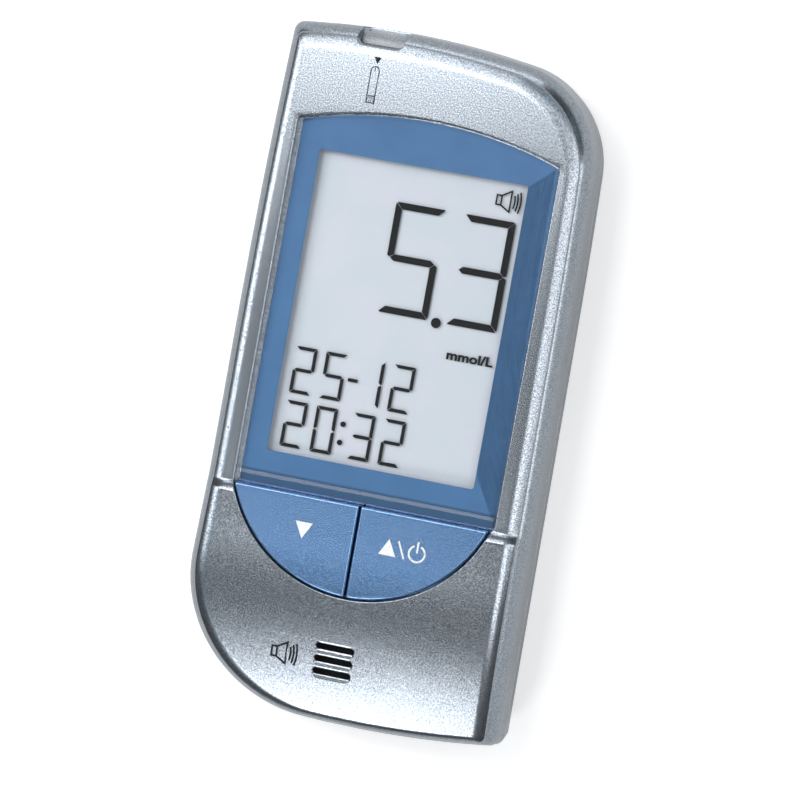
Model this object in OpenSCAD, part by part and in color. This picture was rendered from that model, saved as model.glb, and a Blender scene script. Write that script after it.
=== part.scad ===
// Blood glucose meter, lying on its back. X is to the right, Y runs towards the
// test strip port, Z rises out of the display. The origin is on the table,
// under the middle of the body. Millimetres.

/* [Body] */
// Length over the two rounded ends
body_len = 107.6; // [104:0.1:114]
// Width at the lower end
body_w = 53.2; // [52.4:0.1:58]
// How much narrower the upper end is than the lower end
taper = 2.2; // [0:0.1:2.6]
// How much the sides bow in at the upper end, on top of the taper
side_bow = 0.7; // [0:0.1:1]
// How far the left side is drawn in at the step
left_waist = 0.36; // [0:0.02:0.4]
// Radius of the shallow arc along each end
end_r = 152; // [120:1:200]
// Sideways place of the highest point of the upper end
top_peak_x = -9.7; // [-12:0.1:-5]
// Sideways place of the lowest point of the lower end
bottom_peak_x = 2.5; // [0:0.1:6]
// Radius of the upper right corner
top_corner_r = 14.9; // [12:0.1:17]
// Radius of the lower left corner
bottom_corner_r = 22.5; // [17:0.1:23]
// Radius of the two tight corners
tight_corner_r = 1.6; // [1.2:0.1:4]
// Height of the seam between the two housings
split_z = 11.4; // [9.5:0.1:12.4]
// Wall thickness of the front housing
wall = 1.8; // [1.5:0.1:2]
// Wall thickness of the rear housing and the battery cover
back_wall = 1.6; // [1.3:0.1:1.9]
// Width of the rounded edge along the sides of the face
face_roll_w = 2.6; // [2.1:0.1:3]
// Width of that edge at the upper end, as a share of its width at the sides
roll_top = 1.22; // [1:0.01:1.4]
// Width of that edge at the lower end, as a share of its width at the sides
roll_low = 0.56; // [0.5:0.01:1]
// Share of the inset by which the corners of the face get tighter
roll_corner = 0.25; // [0:0.05:1]
// Height of the rounded edge round the face
face_roll_h = 4.6; // [3.6:0.1:5.4]
// Width of the rounded edge round the back
back_roll_w = 5.2; // [4:0.1:6]
// Height of the rounded edge round the back
back_roll_h = 6.2; // [4.5:0.1:7]
// Inward lean of the side walls over the whole height
side_lean = 0.3; // [0:0.05:0.6]
// Depth of the groove that runs round the body at the seam
seam_groove = 0.25; // [0.1:0.05:0.4]

/* [Key section] */
// Distance from the lower end to the step across the face
step_from_end = 35.15; // [34:0.05:38]
// Rise of the key section above the display section
step_h = 0.7; // [0.3:0.1:1.1]
// Length of the sloping part of the step
step_run = 0.9; // [0.6:0.1:1.6]
// Distance from the step to where the face starts to fall away
crest_run = 5.6; // [3:0.1:8]
// Radius of the falling part of the face
crown_r = 132; // [110:1:200]

/* [Keys] */
// Depth of the half-moon of the keys below the step
key_drop = 14.7; // [13:0.1:15.6]
// Sideways place of the line between the keys
key_x = -0.2; // [-1:0.1:1]
// Gap between a key and the housing
key_gap = 0.25; // [0.2:0.01:0.4]
// Gap between the two keys
key_split = 0.35; // [0.3:0.01:0.5]
// Travel of a key
key_travel = 0.6; // [0.4:0.05:0.7]
// Wall thickness of a key's cap
key_wall = 1.2; // [0.9:0.05:1.5]
// Width of the rim that holds a key in
key_rim_w = 0.8; // [0.6:0.05:1]
// Thickness of that rim
key_rim_t = 0.8; // [0.6:0.05:1]
// How far the keys stand above the housing
key_proud = 0.1; // [0:0.02:0.3]
// Diameter of the post under the middle of a key
key_post_d = 5; // [4:0.1:6]
// Thickness of the rubber mat under the keys
mat_t = 0.6; // [0.4:0.05:0.8]
// Diameter of a dome of the mat at its foot
dome_d = 9; // [8:0.1:10]
// Wall thickness of a dome
dome_wall = 0.5; // [0.4:0.05:0.7]
// Diameter of a carbon pill
pill_d = 3.6; // [3:0.1:4.4]
// Thickness of a carbon pill
pill_t = 0.5; // [0.3:0.05:0.6]

/* [Display] */
// Width of the lens
lens_w = 40.8; // [39.6:0.1:41.6]
// Distance from the upper end to the highest place of the lens
lens_from_top = 13.1; // [12.6:0.1:14.4]
// Radius of the lens's arched top
lens_top_r = 66; // [58:1:90]
// Sideways place of the arch's highest point
lens_peak_x = -1.3; // [-3:0.1:1]
// Thickness of the lens
lens_t = 1.5; // [1.2:0.05:1.8]
// How far the lens lies below the face
lens_sink = 0.25; // [0.1:0.05:0.4]
// Gap round the lens
lens_gap = 0.2; // [0.15:0.01:0.3]
// Width of the sloping lower edge of the lens
lens_bevel_w = 2.1; // [1.4:0.1:2.6]
// Depth of that slope
lens_bevel_h = 0.45; // [0.2:0.05:0.6]
// Thickness of the adhesive frame under the lens
tape_t = 0.15; // [0.1:0.01:0.2]
// Width of the adhesive frame
tape_w = 2; // [1.4:0.1:2.4]
// Thickness of the ledge that carries the lens
ledge_t = 0.8; // [0.6:0.05:1]
// Width of the visible part of the display
view_w = 32.4; // [31:0.1:33]
// Border of the lens above the visible part, at its highest place
view_from_top = 7.1; // [6.6:0.1:8]
// Border of the lens below the visible part
view_border = 5.3; // [4.8:0.1:6]
// How far the display glass reaches past the visible part at each side
glass_over_x = 1.9; // [1.6:0.1:2.1]
// How far the display glass reaches past the visible part at each end
glass_over_y = 2.2; // [1.9:0.1:2.6]
// Thickness of the display glass
glass_t = 1.2; // [1:0.05:1.4]
// Thickness of the reflector behind the glass
reflector_t = 0.2; // [0.1:0.05:0.3]
// Height of the rubber strips that connect the glass
strip_h = 1.8; // [1.5:0.05:2.2]
// Width of those rubber strips
strip_w = 1.4; // [1:0.1:1.6]
// Wall thickness of the frame round the glass
frame_wall = 0.9; // [0.7:0.05:1]
// Space between the glass and the lens
glass_to_lens = 1.15; // [1:0.05:1.5]

/* [Batteries] */
// Diameter of a AAA cell
cell_d = 10.5; // [9.8:0.1:10.6]
// Length of a AAA cell with its contact
cell_len = 44.5; // [42:0.1:44.6]
// Diameter of the cell's contact
cell_nub_d = 3.8; // [3:0.1:4]
// Height of the cell's contact
cell_nub_h = 0.8; // [0.6:0.05:1]
// Free space round a cell
cell_gap = 0.3; // [0.2:0.05:0.4]
// Length of a contact spring with the cell in place
spring_len = 4; // [3.4:0.1:4.4]
// Diameter of a contact spring at its foot
spring_d = 6.4; // [5.4:0.1:7]
// Wire diameter of a contact spring
spring_wire = 0.6; // [0.5:0.05:0.7]
// Turns of a contact spring
spring_turns = 4; // [3:1:5]
// Thickness of a contact plate
plate_t = 0.3; // [0.2:0.05:0.4]
// Wall thickness of the battery bay
bay_wall = 1; // [0.8:0.05:1.1]
// Thickness of the legs that carry the cover's hooks
cover_leg = 0.9; // [0.7:0.05:1.2]
// Height of the battery cover at the lower end
cover_end_h = 8.2; // [7:0.1:9]
// Gap round the battery cover
cover_gap = 0.25; // [0.2:0.01:0.35]
// Width of the cover's rails
rail_w = 1.2; // [1:0.05:1.4]
// Height of the cover's rails
rail_h = 0.9; // [0.7:0.05:1.1]
// Number of grip grooves on the cover
grip_count = 5; // [3:1:7]
// Distance between the grip grooves
grip_pitch = 1.8; // [1.5:0.1:2.2]
// Length of a grip groove
grip_len = 12; // [8:0.5:16]
// Depth of a grip groove
grip_depth = 0.4; // [0.2:0.05:0.6]

/* [Circuit board] */
// Thickness of the circuit board
pcb_t = 1.2; // [1:0.05:1.4]
// Gap between the circuit board and the side walls
pcb_gap = 0.6; // [0.4:0.05:0.9]
// Height of the chips on the board
chip_h = 1.2; // [0.8:0.1:1.4]
// Spacing of the parts on the back of the board
part_grid = 1; // [0.8:0.05:1.1]

/* [Speaker] */
// Diameter of the speaker
speaker_d = 13; // [12:0.1:13.4]
// Height of the speaker
speaker_h = 3; // [2.5:0.1:3.2]
// Distance from the lower end to the middle of the speaker
speaker_from_end = 10.55; // [10.2:0.05:11.6]
// Sideways place of the speaker
speaker_x = -0.4; // [-2:0.1:2]
// Thickness of the foam ring on the speaker
gasket_t = 0.4; // [0.3:0.05:0.5]
// Width of the foam ring
gasket_w = 1.4; // [1:0.1:1.8]
// Thickness of the cloth behind the slots
mesh_t = 0.15; // [0.1:0.01:0.2]
// Number of sound slots
slot_count = 3; // [2:1:3]
// Length of a sound slot
slot_len = 6; // [5:0.1:7]
// Width of a sound slot
slot_w = 1; // [0.8:0.05:1.1]
// Distance between the sound slots
slot_pitch = 1.97; // [1.7:0.01:2.2]

/* [Strip port] */
// Distance from the left side to the middle of the strip port
port_from_side = 16.5; // [16:0.1:18]
// Width of the notch in the upper edge
notch_w = 7.6; // [7:0.1:8.4]
// Depth of the notch from the upper end
notch_depth = 3.4; // [3:0.1:3.8]
// Radius of the notch's inner corners
notch_r = 1.3; // [0.8:0.1:1.6]
// Gap round the port in its notch
port_gap = 0.15; // [0.1:0.01:0.25]
// How far the port lies below the rounded edge
port_sink = 3.4; // [2.4:0.05:3.6]
// How far the port lies behind the upper end
port_back = 0.5; // [0.3:0.05:0.8]
// Width of the strip slot
strip_slot_w = 5.8; // [5.4:0.1:6.2]
// Height of the strip slot
strip_slot_h = 0.9; // [0.7:0.05:1]
// Height of the strip slot's middle above the circuit board
strip_slot_z = 1.2; // [1:0.05:1.5]
// Length of the connector behind the port
socket_len = 7; // [6:0.1:7.6]
// Height of that connector
socket_h = 2.4; // [2.2:0.1:2.8]

/* [Screws] */
// Diameter of a housing screw
screw_d = 2; // [1.8:0.05:2.2]
// Length of a housing screw below its head
screw_len = 13; // [11:0.1:13.4]
// Diameter of a housing screw's head
screw_head_d = 3.6; // [3.2:0.1:3.8]
// Height of a housing screw's head
screw_head_h = 1.4; // [1.1:0.1:1.6]
// Depth of the holes over the housing screws
screw_sunk = 1.6; // [1:0.1:2]
// Diameter of a screw post
post_d = 5; // [4.6:0.1:5.2]
// Diameter of a circuit board screw
pcb_screw_d = 1.6; // [1.4:0.05:1.8]
// Length of a circuit board screw below its head
pcb_screw_len = 4.6; // [4:0.1:5]
// Diameter of a circuit board screw's head
pcb_screw_head_d = 2.8; // [2.4:0.1:3]
// Height of a circuit board screw's head
pcb_screw_head_h = 0.7; // [0.5:0.05:0.9]

/* [Hidden] */
$fn = 48;

eps = 0.01;
fit_gap = 0.2;              // between pieces that stay still
screw_clear = 0.3;          // added to a hole that a screw passes through
head_clear = 0.5;           // added to a hole round a screw's head
thread_bite = 0.3;          // taken off a hole that a screw cuts its thread in
post_foot = 0.5;            // how much thicker a rear post is all round
half_w = body_w / 2;
y_top = body_len / 2;
y_low = -body_len / 2;

// Heights, from the back face up
cell_z = back_wall + cell_gap + cell_d / 2;
roof_z = cell_z + cell_d / 2 + cell_gap;
pcb_z = roof_z + bay_wall + fit_gap;
pcb_top = pcb_z + pcb_t;
glass_z = pcb_top + strip_h;
lens_z = glass_z + glass_t + glass_to_lens;
lens_top = lens_z + lens_t;
face_z = lens_top + lens_sink;
seat_z = lens_z - tape_t - ledge_t;
rim_top = seat_z - fit_gap;
rim_z = rim_top - key_rim_t;
screw_head_z = screw_sunk + screw_head_h;
screw_bite = screw_head_z + screw_len - split_z;

// Face of the body as a function of y
step_y = y_low + step_from_end;
crest_y = step_y - crest_run;
function smooth(t) = t <= 0 ? 0 : t >= 1 ? 1 : t * t * (3 - 2 * t);
function top_z(y) = face_below(y, 0);
// The same face at a depth below its edge, where the step fades out
function face_below(y, depth) = face_z - depth
    + step_h * smooth((step_y - y) / step_run) * max(0, 1 - depth / face_roll_h)
    - pow(max(0, crest_y - y), 2) / (2 * crown_r);

// Outline of the body at an inset of d: two shallow end arcs, sides that close
// in towards the top, and four corner arcs. s is -1 on the left and 1 on the
// right, e is 1 at the upper end and -1 at the lower end. k holds the shares of
// the inset for the lower end, the upper end and the corner radii.
even = [1, 1, 1];
rolled = [roll_low, roll_top, roll_corner];
corner_min = 0.5;
function end_c(e) = e > 0 ? [top_peak_x, y_top - end_r] : [bottom_peak_x, y_low + end_r];
function corner_size(s, e) =
    s > 0 ? (e > 0 ? top_corner_r : tight_corner_r) : (e > 0 ? tight_corner_r : bottom_corner_r);
function end_inset(e, d, k) = d * (e > 0 ? k[1] : k[0]);
function corner(s, e, d, k) = let (
        r = max(corner_size(s, e) - k[2] * d, corner_min),
        x = s * (half_w - d - r),
        c = end_c(e),
        y = c[1] + e * sqrt(pow(end_r - end_inset(e, d, k) - r, 2) - pow(x - c[0], 2))
    ) [x, y, r];
function arc_x(c, r, y, s) = c[0] + s * sqrt(max(0, r * r - pow(y - c[1], 2)));
// Height at which the end arc of radius r meets the corner arc a
function tangent_y(e, a, r) = let (c = end_c(e)) c[1] + (a[1] - c[1]) * r / (r - a[2]);
bow_from = 15;
function bow(y) = side_bow * pow(max(0, (y - bow_from) / (y_top - bow_from)), 2);
function narrow(y) = 1 - (taper * (y - y_low) / body_len + 2 * bow(y)) / body_w;
// The waist comes in over a short length below the step and fades by half above it
waist_in = 20;
waist_out = 30;
function waist(y) = left_waist * smooth(1 + (y - step_y) / waist_in)
    * (1 - smooth((y - step_y) / waist_out) / 2);
function edge_x(s, y, d, k) = let (
        up = corner(s, 1, d, k),
        low = corner(s, -1, d, k),
        up_r = end_r - end_inset(1, d, k),
        low_r = end_r - end_inset(-1, d, k)
    ) (s < 0 ? waist(y) : 0) + narrow(y) * (
        y >= tangent_y(1, up, up_r) ? arc_x(end_c(1), up_r, y, s) :
        y > up[1] ? arc_x(up, up[2], y, s) :
        y > low[1] ? s * (half_w - d) :
        y > tangent_y(-1, low, low_r) ? arc_x(low, low[2], y, s) :
        arc_x(end_c(-1), low_r, y, s));

// Heights y at which the outline has its points, closer together at the ends
low_rows = 20;
step_rows = 4;
top_rows = 30;
end_flat = 0.02;
function rows(d, k) = let (
        a = y_low + end_inset(-1, d, k) + end_flat,
        b = y_top - end_inset(1, d, k) - end_flat
    ) [
        for (i = [0 : low_rows]) a + (step_y - step_run - a) * pow(i / low_rows, 2),
        for (i = [1 : step_rows]) step_y - step_run * (1 - i / step_rows),
        for (i = [top_rows - 1 : -1 : 0]) b - (b - step_y) * pow(i / top_rows, 2)
    ];
function outline(d, k) = let (r = rows(d, k), n = len(r)) [
        for (i = [0 : n - 1]) [edge_x(-1, r[i], d, k), r[i]],
        for (i = [n - 1 : -1 : 0]) [edge_x(1, r[i], d, k), r[i]]
    ];

// A solid between a flat ring at height base and a face that follows the
// outline. ring_list holds [inset, depth below the face] from the base up, and
// lower is how far the whole face lies below the outer one.
module ring_solid(base, base_inset, ring_list, lower, front, k) {
    rings = [
        [for (p = outline(base_inset, k)) [p[0], p[1], base]],
        for (g = ring_list) [
            for (p = outline(g[0], k))
                [p[0], p[1], front
                    ? max(face_below(p[1], g[1]) - lower, base + seam_groove)
                    : g[1] + lower]
        ]
    ];
    n = len(rings[0]);
    m = len(rings);
    last = (m - 1) * n;
    side = [
        for (j = [0 : m - 2], i = [0 : n - 1]) let (
                a = j * n + i,
                b = j * n + (i + 1) % n
            ) each [[a, b + n, b], [a, a + n, b + n]]
    ];
    cap = [for (i = [0 : n / 2 - 2]) [last + i, last + n - 1 - i, last + n - 2 - i, last + i + 1]];
    foot = [[for (i = [0 : n - 1]) i]];
    all = concat(side, cap, foot);
    // The faces above are wound for a solid that hangs below its base
    polyhedron(
        points = [for (r = rings) each r],
        faces = front ? [for (f = all) [for (k = [len(f) - 1 : -1 : 0]) f[k]]] : all,
        convexity = 6
    );
}
// Rounded edge as [inset, depth] pairs from the side wall to the face
function roll(inset, w, h, steps) = [
        for (i = [0 : steps]) let (a = 90 * i / steps)
            [inset + side_lean + w * (1 - cos(a)), h * (1 - sin(a))]
    ];
// The front half of the body, hollow ones with an inset and a lowered face
module front_solid(inset, lower, steps) {
    w = face_roll_w - inset;
    h = face_roll_h - lower;
    ring_solid(
        inset > 0 ? split_z - eps : split_z,
        inset > 0 ? inset : seam_groove,
        concat(
            inset > 0 ? [] : [[0, face_z - split_z - seam_groove]],
            roll(inset, w, h, steps)
        ),
        lower,
        true,
        inset > 0 ? even : rolled
    );
}
// The back half of the body, down to the back face at z = 0
module back_solid(inset, lower, steps, up_to) {
    w = back_roll_w - inset;
    h = back_roll_h - lower;
    ring_solid(
        up_to,
        inset > 0 ? inset : seam_groove,
        concat(
            inset > 0 ? [] : [[0, split_z - seam_groove]],
            roll(inset, w, h, steps)
        ),
        lower,
        false,
        even
    );
}
module plan(inset, z0, z1) {
    translate([0, 0, z0]) linear_extrude(z1 - z0) polygon(outline(inset, even));
}

// Places in plan
lens_y0 = step_y + lens_gap / 2;
lens_y1 = y_top - lens_from_top;
lens_h = lens_y1 - lens_y0;
view_y0 = lens_y0 + view_border;
view_y1 = lens_y1 - view_from_top;
view_h = view_y1 - view_y0;
view_y = (view_y0 + view_y1) / 2;
glass_w = view_w + 2 * glass_over_x;
glass_h = view_h + 2 * glass_over_y;
frame_w = glass_w + 2 * (fit_gap + frame_wall);
frame_h = glass_h + 2 * (fit_gap + frame_wall);
key_hole_r = (pow(lens_w / 2, 2) + pow(key_drop, 2)) / (2 * key_drop);
key_cy = step_y - key_drop + key_hole_r;
key_r = key_hole_r - key_gap;
key_top_y = step_y - lens_gap / 2 - key_gap / 2;
dome_x = lens_w / 4;
dome_y = step_y - key_drop * 0.45;
collar_t = 1;
cell_x = cell_d / 2 + cell_gap / 2;
bay_half_w = cell_x + cell_d / 2 + cell_gap;
bay_from_end = 1.8;         // between the end wall and the battery bay
cover_past_bay = 0.6;
grip_from_end = 5;
bay_y0 = y_low + back_wall + bay_wall + bay_from_end + side_lean;
bay_y1 = bay_y0 + cell_len + spring_len + 2 * plate_t;
cover_y1 = bay_y1 + bay_wall + cover_past_bay;
channel_y1 = cover_y1 + cover_gap;
// The ribs of the bay and the hooks of the cover each reach half a rail
bay_x = bay_half_w + bay_wall;
cover_half_w = bay_x + rail_w / 2 + cover_gap + cover_leg;
channel_x = cover_half_w + cover_gap;
speaker_y = y_low + speaker_from_end;
speaker_top = top_z(speaker_y - speaker_d / 2) - wall - mesh_t - gasket_t;
speaker_z = speaker_top - speaker_h;
pcb_from_speaker = 1.6;
pcb_from_notch = 1.2;
pcb_y0 = speaker_y + speaker_d / 2 + pcb_from_speaker;
pcb_y1 = y_top - notch_depth - pcb_from_notch;
port_x = -half_w + port_from_side;
port_y0 = y_top - notch_depth + port_gap;
slot_z = pcb_top + strip_slot_z;
socket_y0 = pcb_y1 - socket_len;
// The housing screws stand off the sides and ends at the top, and beside the
// battery cover at the bottom
tight_screw_in = 9.2;
round_screw_in = 10.5;
round_screw_down = 13;
low_screw_up = 8.7;
round_screw_up = 18;
screw_beside = channel_x + bay_wall + fit_gap + post_d / 2 + post_foot;
screw_spots = [
    [-half_w + tight_screw_in, y_top - tight_screw_in],
    [half_w - round_screw_in, y_top - round_screw_down],
    [-screw_beside, y_low + round_screw_up],
    [screw_beside, y_low + low_screw_up]
];
pcb_screw_in = 3;
pcb_screw_x = half_w - 3.2 * pcb_screw_in;
pcb_screw_spots = [
    [pcb_screw_in, pcb_y1 - pcb_screw_in],
    [-pcb_screw_x, pcb_y0 + pcb_screw_in],
    [pcb_screw_x, pcb_y0 + pcb_screw_in]
];

// ---- Front housing ----
module lens_shape(grow, z0, z1) {
    intersection() {
        translate([-lens_w / 2 - grow, lens_y0 - grow, z0])
            cube([lens_w + 2 * grow, lens_h + 2 * grow, z1 - z0]);
        translate([lens_peak_x, lens_y1 - lens_top_r, z0])
            cylinder(r = lens_top_r + grow, h = z1 - z0, $fn = 240);
    }
}
module half_moon(r, y1, z0, z1) {
    intersection() {
        translate([key_x, key_cy, z0]) cylinder(r = r, h = z1 - z0, $fn = 120);
        translate([-half_w, y_low, z0]) cube([body_w, y1 - y_low, z1 - z0]);
    }
}
module box(x0, x1, y0, y1, z0, z1) {
    translate([x0, y0, z0]) cube([x1 - x0, y1 - y0, z1 - z0]);
}
module at(spots, z) {
    for (p = spots) translate([p[0], p[1], z]) children();
}
module ring(d, hole_d, h) {
    difference() {
        cylinder(d = d, h = h);
        translate([0, 0, -1]) cylinder(d = hole_d, h = h + 2);
    }
}
module sound_slots(z0, z1) {
    for (i = [0 : slot_count - 1])
        translate([speaker_x, speaker_y + (i - (slot_count - 1) / 2) * slot_pitch, z0]) {
            box(-slot_len / 2 + slot_w / 2, slot_len / 2 - slot_w / 2,
                -slot_w / 2, slot_w / 2, 0, z1 - z0);
            for (s = [-1, 1])
                translate([s * (slot_len - slot_w) / 2, 0, 0]) cylinder(d = slot_w, h = z1 - z0);
        }
}
high = face_z + step_h + 2;
module front_housing() color("silver") {
    difference() {
        union() {
            difference() {
                front_solid(0, 0, 6);
                front_solid(wall, wall, 3);
            }
            intersection() {
                front_solid(wall / 2, wall / 2, 3);
                union() {
                    // Ledge that carries the lens, and the collar round the keys
                    lens_shape(collar_t, seat_z, high);
                    half_moon(key_hole_r + collar_t, step_y + eps, seat_z, high);
                    // Ring that the speaker is glued to
                    at_speaker(speaker_top + gasket_t + mesh_t)
                        ring(speaker_d, speaker_d - 2 * gasket_w, high);
                    at(screw_spots, split_z) cylinder(d = post_d, h = high);
                    at(pcb_screw_spots, pcb_top) cylinder(d = pcb_post_d, h = high);
                }
            }
        }
        lens_shape(lens_gap, lens_z - tape_t, high);
        box(-view_w / 2 - tape_w / 2, view_w / 2 + tape_w / 2,
            view_y0 - tape_w / 2, view_y0 + view_h + tape_w / 2, seat_z - 1, high);
        half_moon(key_hole_r, step_y, seat_z - 1, high);
        sound_slots(speaker_top, high);
        notch(0, split_z - 1, high);
        at(screw_spots, split_z - eps)
            cylinder(d = screw_d - thread_bite, h = screw_bite + screw_clear);
        at(pcb_screw_spots, pcb_top - eps)
            cylinder(d = pcb_screw_d - thread_bite, h = pcb_screw_len - pcb_t + screw_clear);
    }
}
pcb_post_d = 2.5 * pcb_screw_d;
// The notch for the strip port, open at the upper end, grown by grow
module notch(grow, z0, z1) {
    r = notch_r + grow;
    x0 = port_x - notch_w / 2 - grow;
    x1 = port_x + notch_w / 2 + grow;
    y0 = y_top - notch_depth - grow;
    box(x0, x1, y0 + r, y_top + 1, z0, z1);
    box(x0 + r, x1 - r, y0, y0 + 2 * r, z0, z1);
    for (x = [x0 + r, x1 - r]) translate([x, y0 + r, z0]) cylinder(r = r, h = z1 - z0);
}

// ---- Rear housing and battery cover ----
// Straight channel of the sliding cover, grown by the clearance
module cover_channel(grow) {
    box(-cover_half_w - grow, cover_half_w + grow, y_low - 1, cover_y1 + grow,
        -1, cover_end_h + grow);
}
// The same box on both sides, given for the right one
module both_sides(x0, x1, y0, y1, z0, z1) {
    box(x0, x1, y0, y1, z0, z1);
    box(-x1, -x0, y0, y1, z0, z1);
}
rib_z = back_wall + cover_gap;
hook_z = rib_z + rail_h + cover_gap;
web_z = hook_z + rail_h + cover_gap;
module rear_housing() color("silver") {
    difference() {
        union() {
            difference() {
                back_solid(0, 0, 6, split_z);
                back_solid(back_wall, back_wall, 3, split_z + eps);
                cover_channel(cover_gap);
            }
            // Battery bay: roof, four walls, the ribs that carry the cover, and the
            // webs that tie the bay to the floor round the cover
            intersection() {
                union() {
                    difference() {
                        box(-bay_x, bay_x, bay_y0 - bay_wall, bay_y1 + bay_wall,
                            rib_z, roof_z + bay_wall);
                        box(-bay_half_w, bay_half_w, bay_y0, bay_y1, -1, roof_z);
                    }
                    both_sides(bay_x - eps, bay_x + rail_w / 2, bay_y0, bay_y1, rib_z, rib_z + rail_h);
                    both_sides(bay_x - eps, channel_x + bay_wall, bay_y0, cover_y1, web_z, web_z + bay_wall);
                }
                back_solid(rib_z, rib_z, 3, roof_z + bay_wall + 1);
            }
            // Walls round the cover
            both_sides(channel_x, channel_x + bay_wall, bay_y0, channel_y1 + bay_wall,
                back_wall - eps, web_z + bay_wall);
            box(-channel_x - bay_wall, channel_x + bay_wall, channel_y1, channel_y1 + bay_wall,
                back_wall - eps, web_z + bay_wall);
            box(-channel_x, channel_x, bay_y1, channel_y1 + eps, web_z, web_z + bay_wall);
            at(screw_spots, back_wall - eps)
                cylinder(d = post_d + 2 * post_foot, h = split_z - back_wall + eps);
        }
        at(screw_spots, -1) cylinder(d = screw_head_d + head_clear, h = screw_head_z + 1);
        at(screw_spots, 0) cylinder(d = screw_d + screw_clear, h = split_z + 1);
    }
}
module battery_cover() color("silver") {
    difference() {
        union() {
            intersection() {
                difference() {
                    back_solid(0, 0, 6, split_z);
                    back_solid(back_wall, back_wall, 3, split_z + eps);
                }
                cover_channel(0);
            }
            // Hooks that slide along the ribs of the bay
            both_sides(cover_half_w - cover_leg, cover_half_w, bay_y0, cover_y1 - 1,
                back_wall - eps, hook_z + rail_h);
            both_sides(cover_half_w - cover_leg - rail_w / 2, cover_half_w, bay_y0, cover_y1 - 1,
                hook_z, hook_z + rail_h);
        }
        for (i = [0 : grip_count - 1])
            translate([-grip_len / 2, cover_y1 - grip_from_end - i * grip_pitch, 0])
                rotate([0, 90, 0]) cylinder(r = grip_depth, h = grip_len, $fn = 24);
    }
}

// ---- Display ----
module display_lens() color("steelblue") {
    difference() {
        lens_shape(0, lens_z, lens_top);
        // Sloping lower edge
        translate([-half_w, lens_y0 + lens_bevel_w, lens_top])
            rotate([atan(lens_bevel_h / lens_bevel_w), 0, 0])
                translate([0, -2 * lens_bevel_w, 0]) cube([body_w, 2 * lens_bevel_w, 2]);
    }
}
module lens_tape() color("black") {
    difference() {
        lens_shape(-0.3, lens_z - tape_t, lens_z);
        box(-view_w / 2 - tape_w / 2, view_w / 2 + tape_w / 2,
            view_y0 - tape_w / 2, view_y0 + view_h + tape_w / 2, lens_z - 1, lens_z + 1);
    }
}
module lcd_glass() color("lightsteelblue") {
    box(-glass_w / 2, glass_w / 2, view_y - glass_h / 2, view_y + glass_h / 2,
        glass_z, glass_z + glass_t);
}
module lcd_reflector() color("white") {
    in = strip_w + 2 * fit_gap;
    box(-glass_w / 2 + fit_gap, glass_w / 2 - fit_gap,
        view_y - glass_h / 2 + in, view_y + glass_h / 2 - in, glass_z - reflector_t, glass_z);
}
module lcd_frame() color("whitesmoke") {
    difference() {
        box(-frame_w / 2, frame_w / 2, view_y - frame_h / 2, view_y + frame_h / 2,
            pcb_top, glass_z + glass_t);
        box(-glass_w / 2 - fit_gap, glass_w / 2 + fit_gap, view_y - glass_h / 2 - fit_gap,
            view_y + glass_h / 2 + fit_gap, glass_z - reflector_t, high);
        // Slots for the rubber strips, and the lightened middle
        for (s = [-1, 1])
            translate([0, view_y + s * (glass_h / 2 - strip_w / 2), 0])
                box(-glass_w / 2 + 1, glass_w / 2 - 1, -strip_w / 2 - 0.1, strip_w / 2 + 0.1,
                    pcb_top - 1, high);
        box(-glass_w / 2 + 2, glass_w / 2 - 2, view_y - glass_h / 2 + 4, view_y + glass_h / 2 - 4,
            pcb_top - 1, high);
    }
}
module zebra_strips() color("dimgray") {
    for (s = [-1, 1])
        translate([0, view_y + s * (glass_h / 2 - strip_w / 2), 0])
            box(-glass_w / 2 + 1.2, glass_w / 2 - 1.2, -strip_w / 2, strip_w / 2, pcb_top, glass_z);
}

// ---- Circuit board ----
module main_pcb() color("seagreen") {
    difference() {
        intersection() {
            plan(wall + side_lean + pcb_gap, pcb_z, pcb_top);
            box(-half_w, half_w, pcb_y0, pcb_y1, pcb_z, pcb_top);
        }
        at(screw_spots, pcb_z - 1) cylinder(d = post_d + 2 * pcb_gap, h = pcb_t + 2);
        at(pcb_screw_spots, pcb_z - 1) cylinder(d = pcb_screw_d + screw_clear, h = pcb_t + 2);
    }
}
// Parts on the back of the board stand on a grid past the battery bay
chip_y = bay_y1 + bay_wall + 6 * part_grid;
// A part at column x and row y of the grid, w by l squares in size
module chip(x, y, w, l, h) {
    translate([x * part_grid, chip_y + y * part_grid, pcb_z - h])
        cube([w * part_grid, l * part_grid, h]);
}
module pcb_chips() color("black") {
    chip(-7, 0, 8, 8, chip_h);
    chip(5, 1, 6, 5, chip_h);
    chip(6, 11, 4, 4, chip_h);
    for (i = [0 : 3]) chip(-14 + i * 3, 14, 1.2, 2, chip_h / 2);
    translate([-13 * part_grid, chip_y + 4 * part_grid, pcb_z - 2 * chip_h])
        cylinder(d = 4 * part_grid, h = 2 * chip_h);
}
contact_t = 0.05;
module key_contacts() color("gold") {
    for (s = [-1, 1])
        translate([key_x + s * dome_x, dome_y, pcb_top]) {
            difference() {
                cylinder(d = pill_d + 1, h = contact_t);
                box(-0.15, 0.15, -pill_d, pill_d, -1, 1);
            }
        }
}

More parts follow.
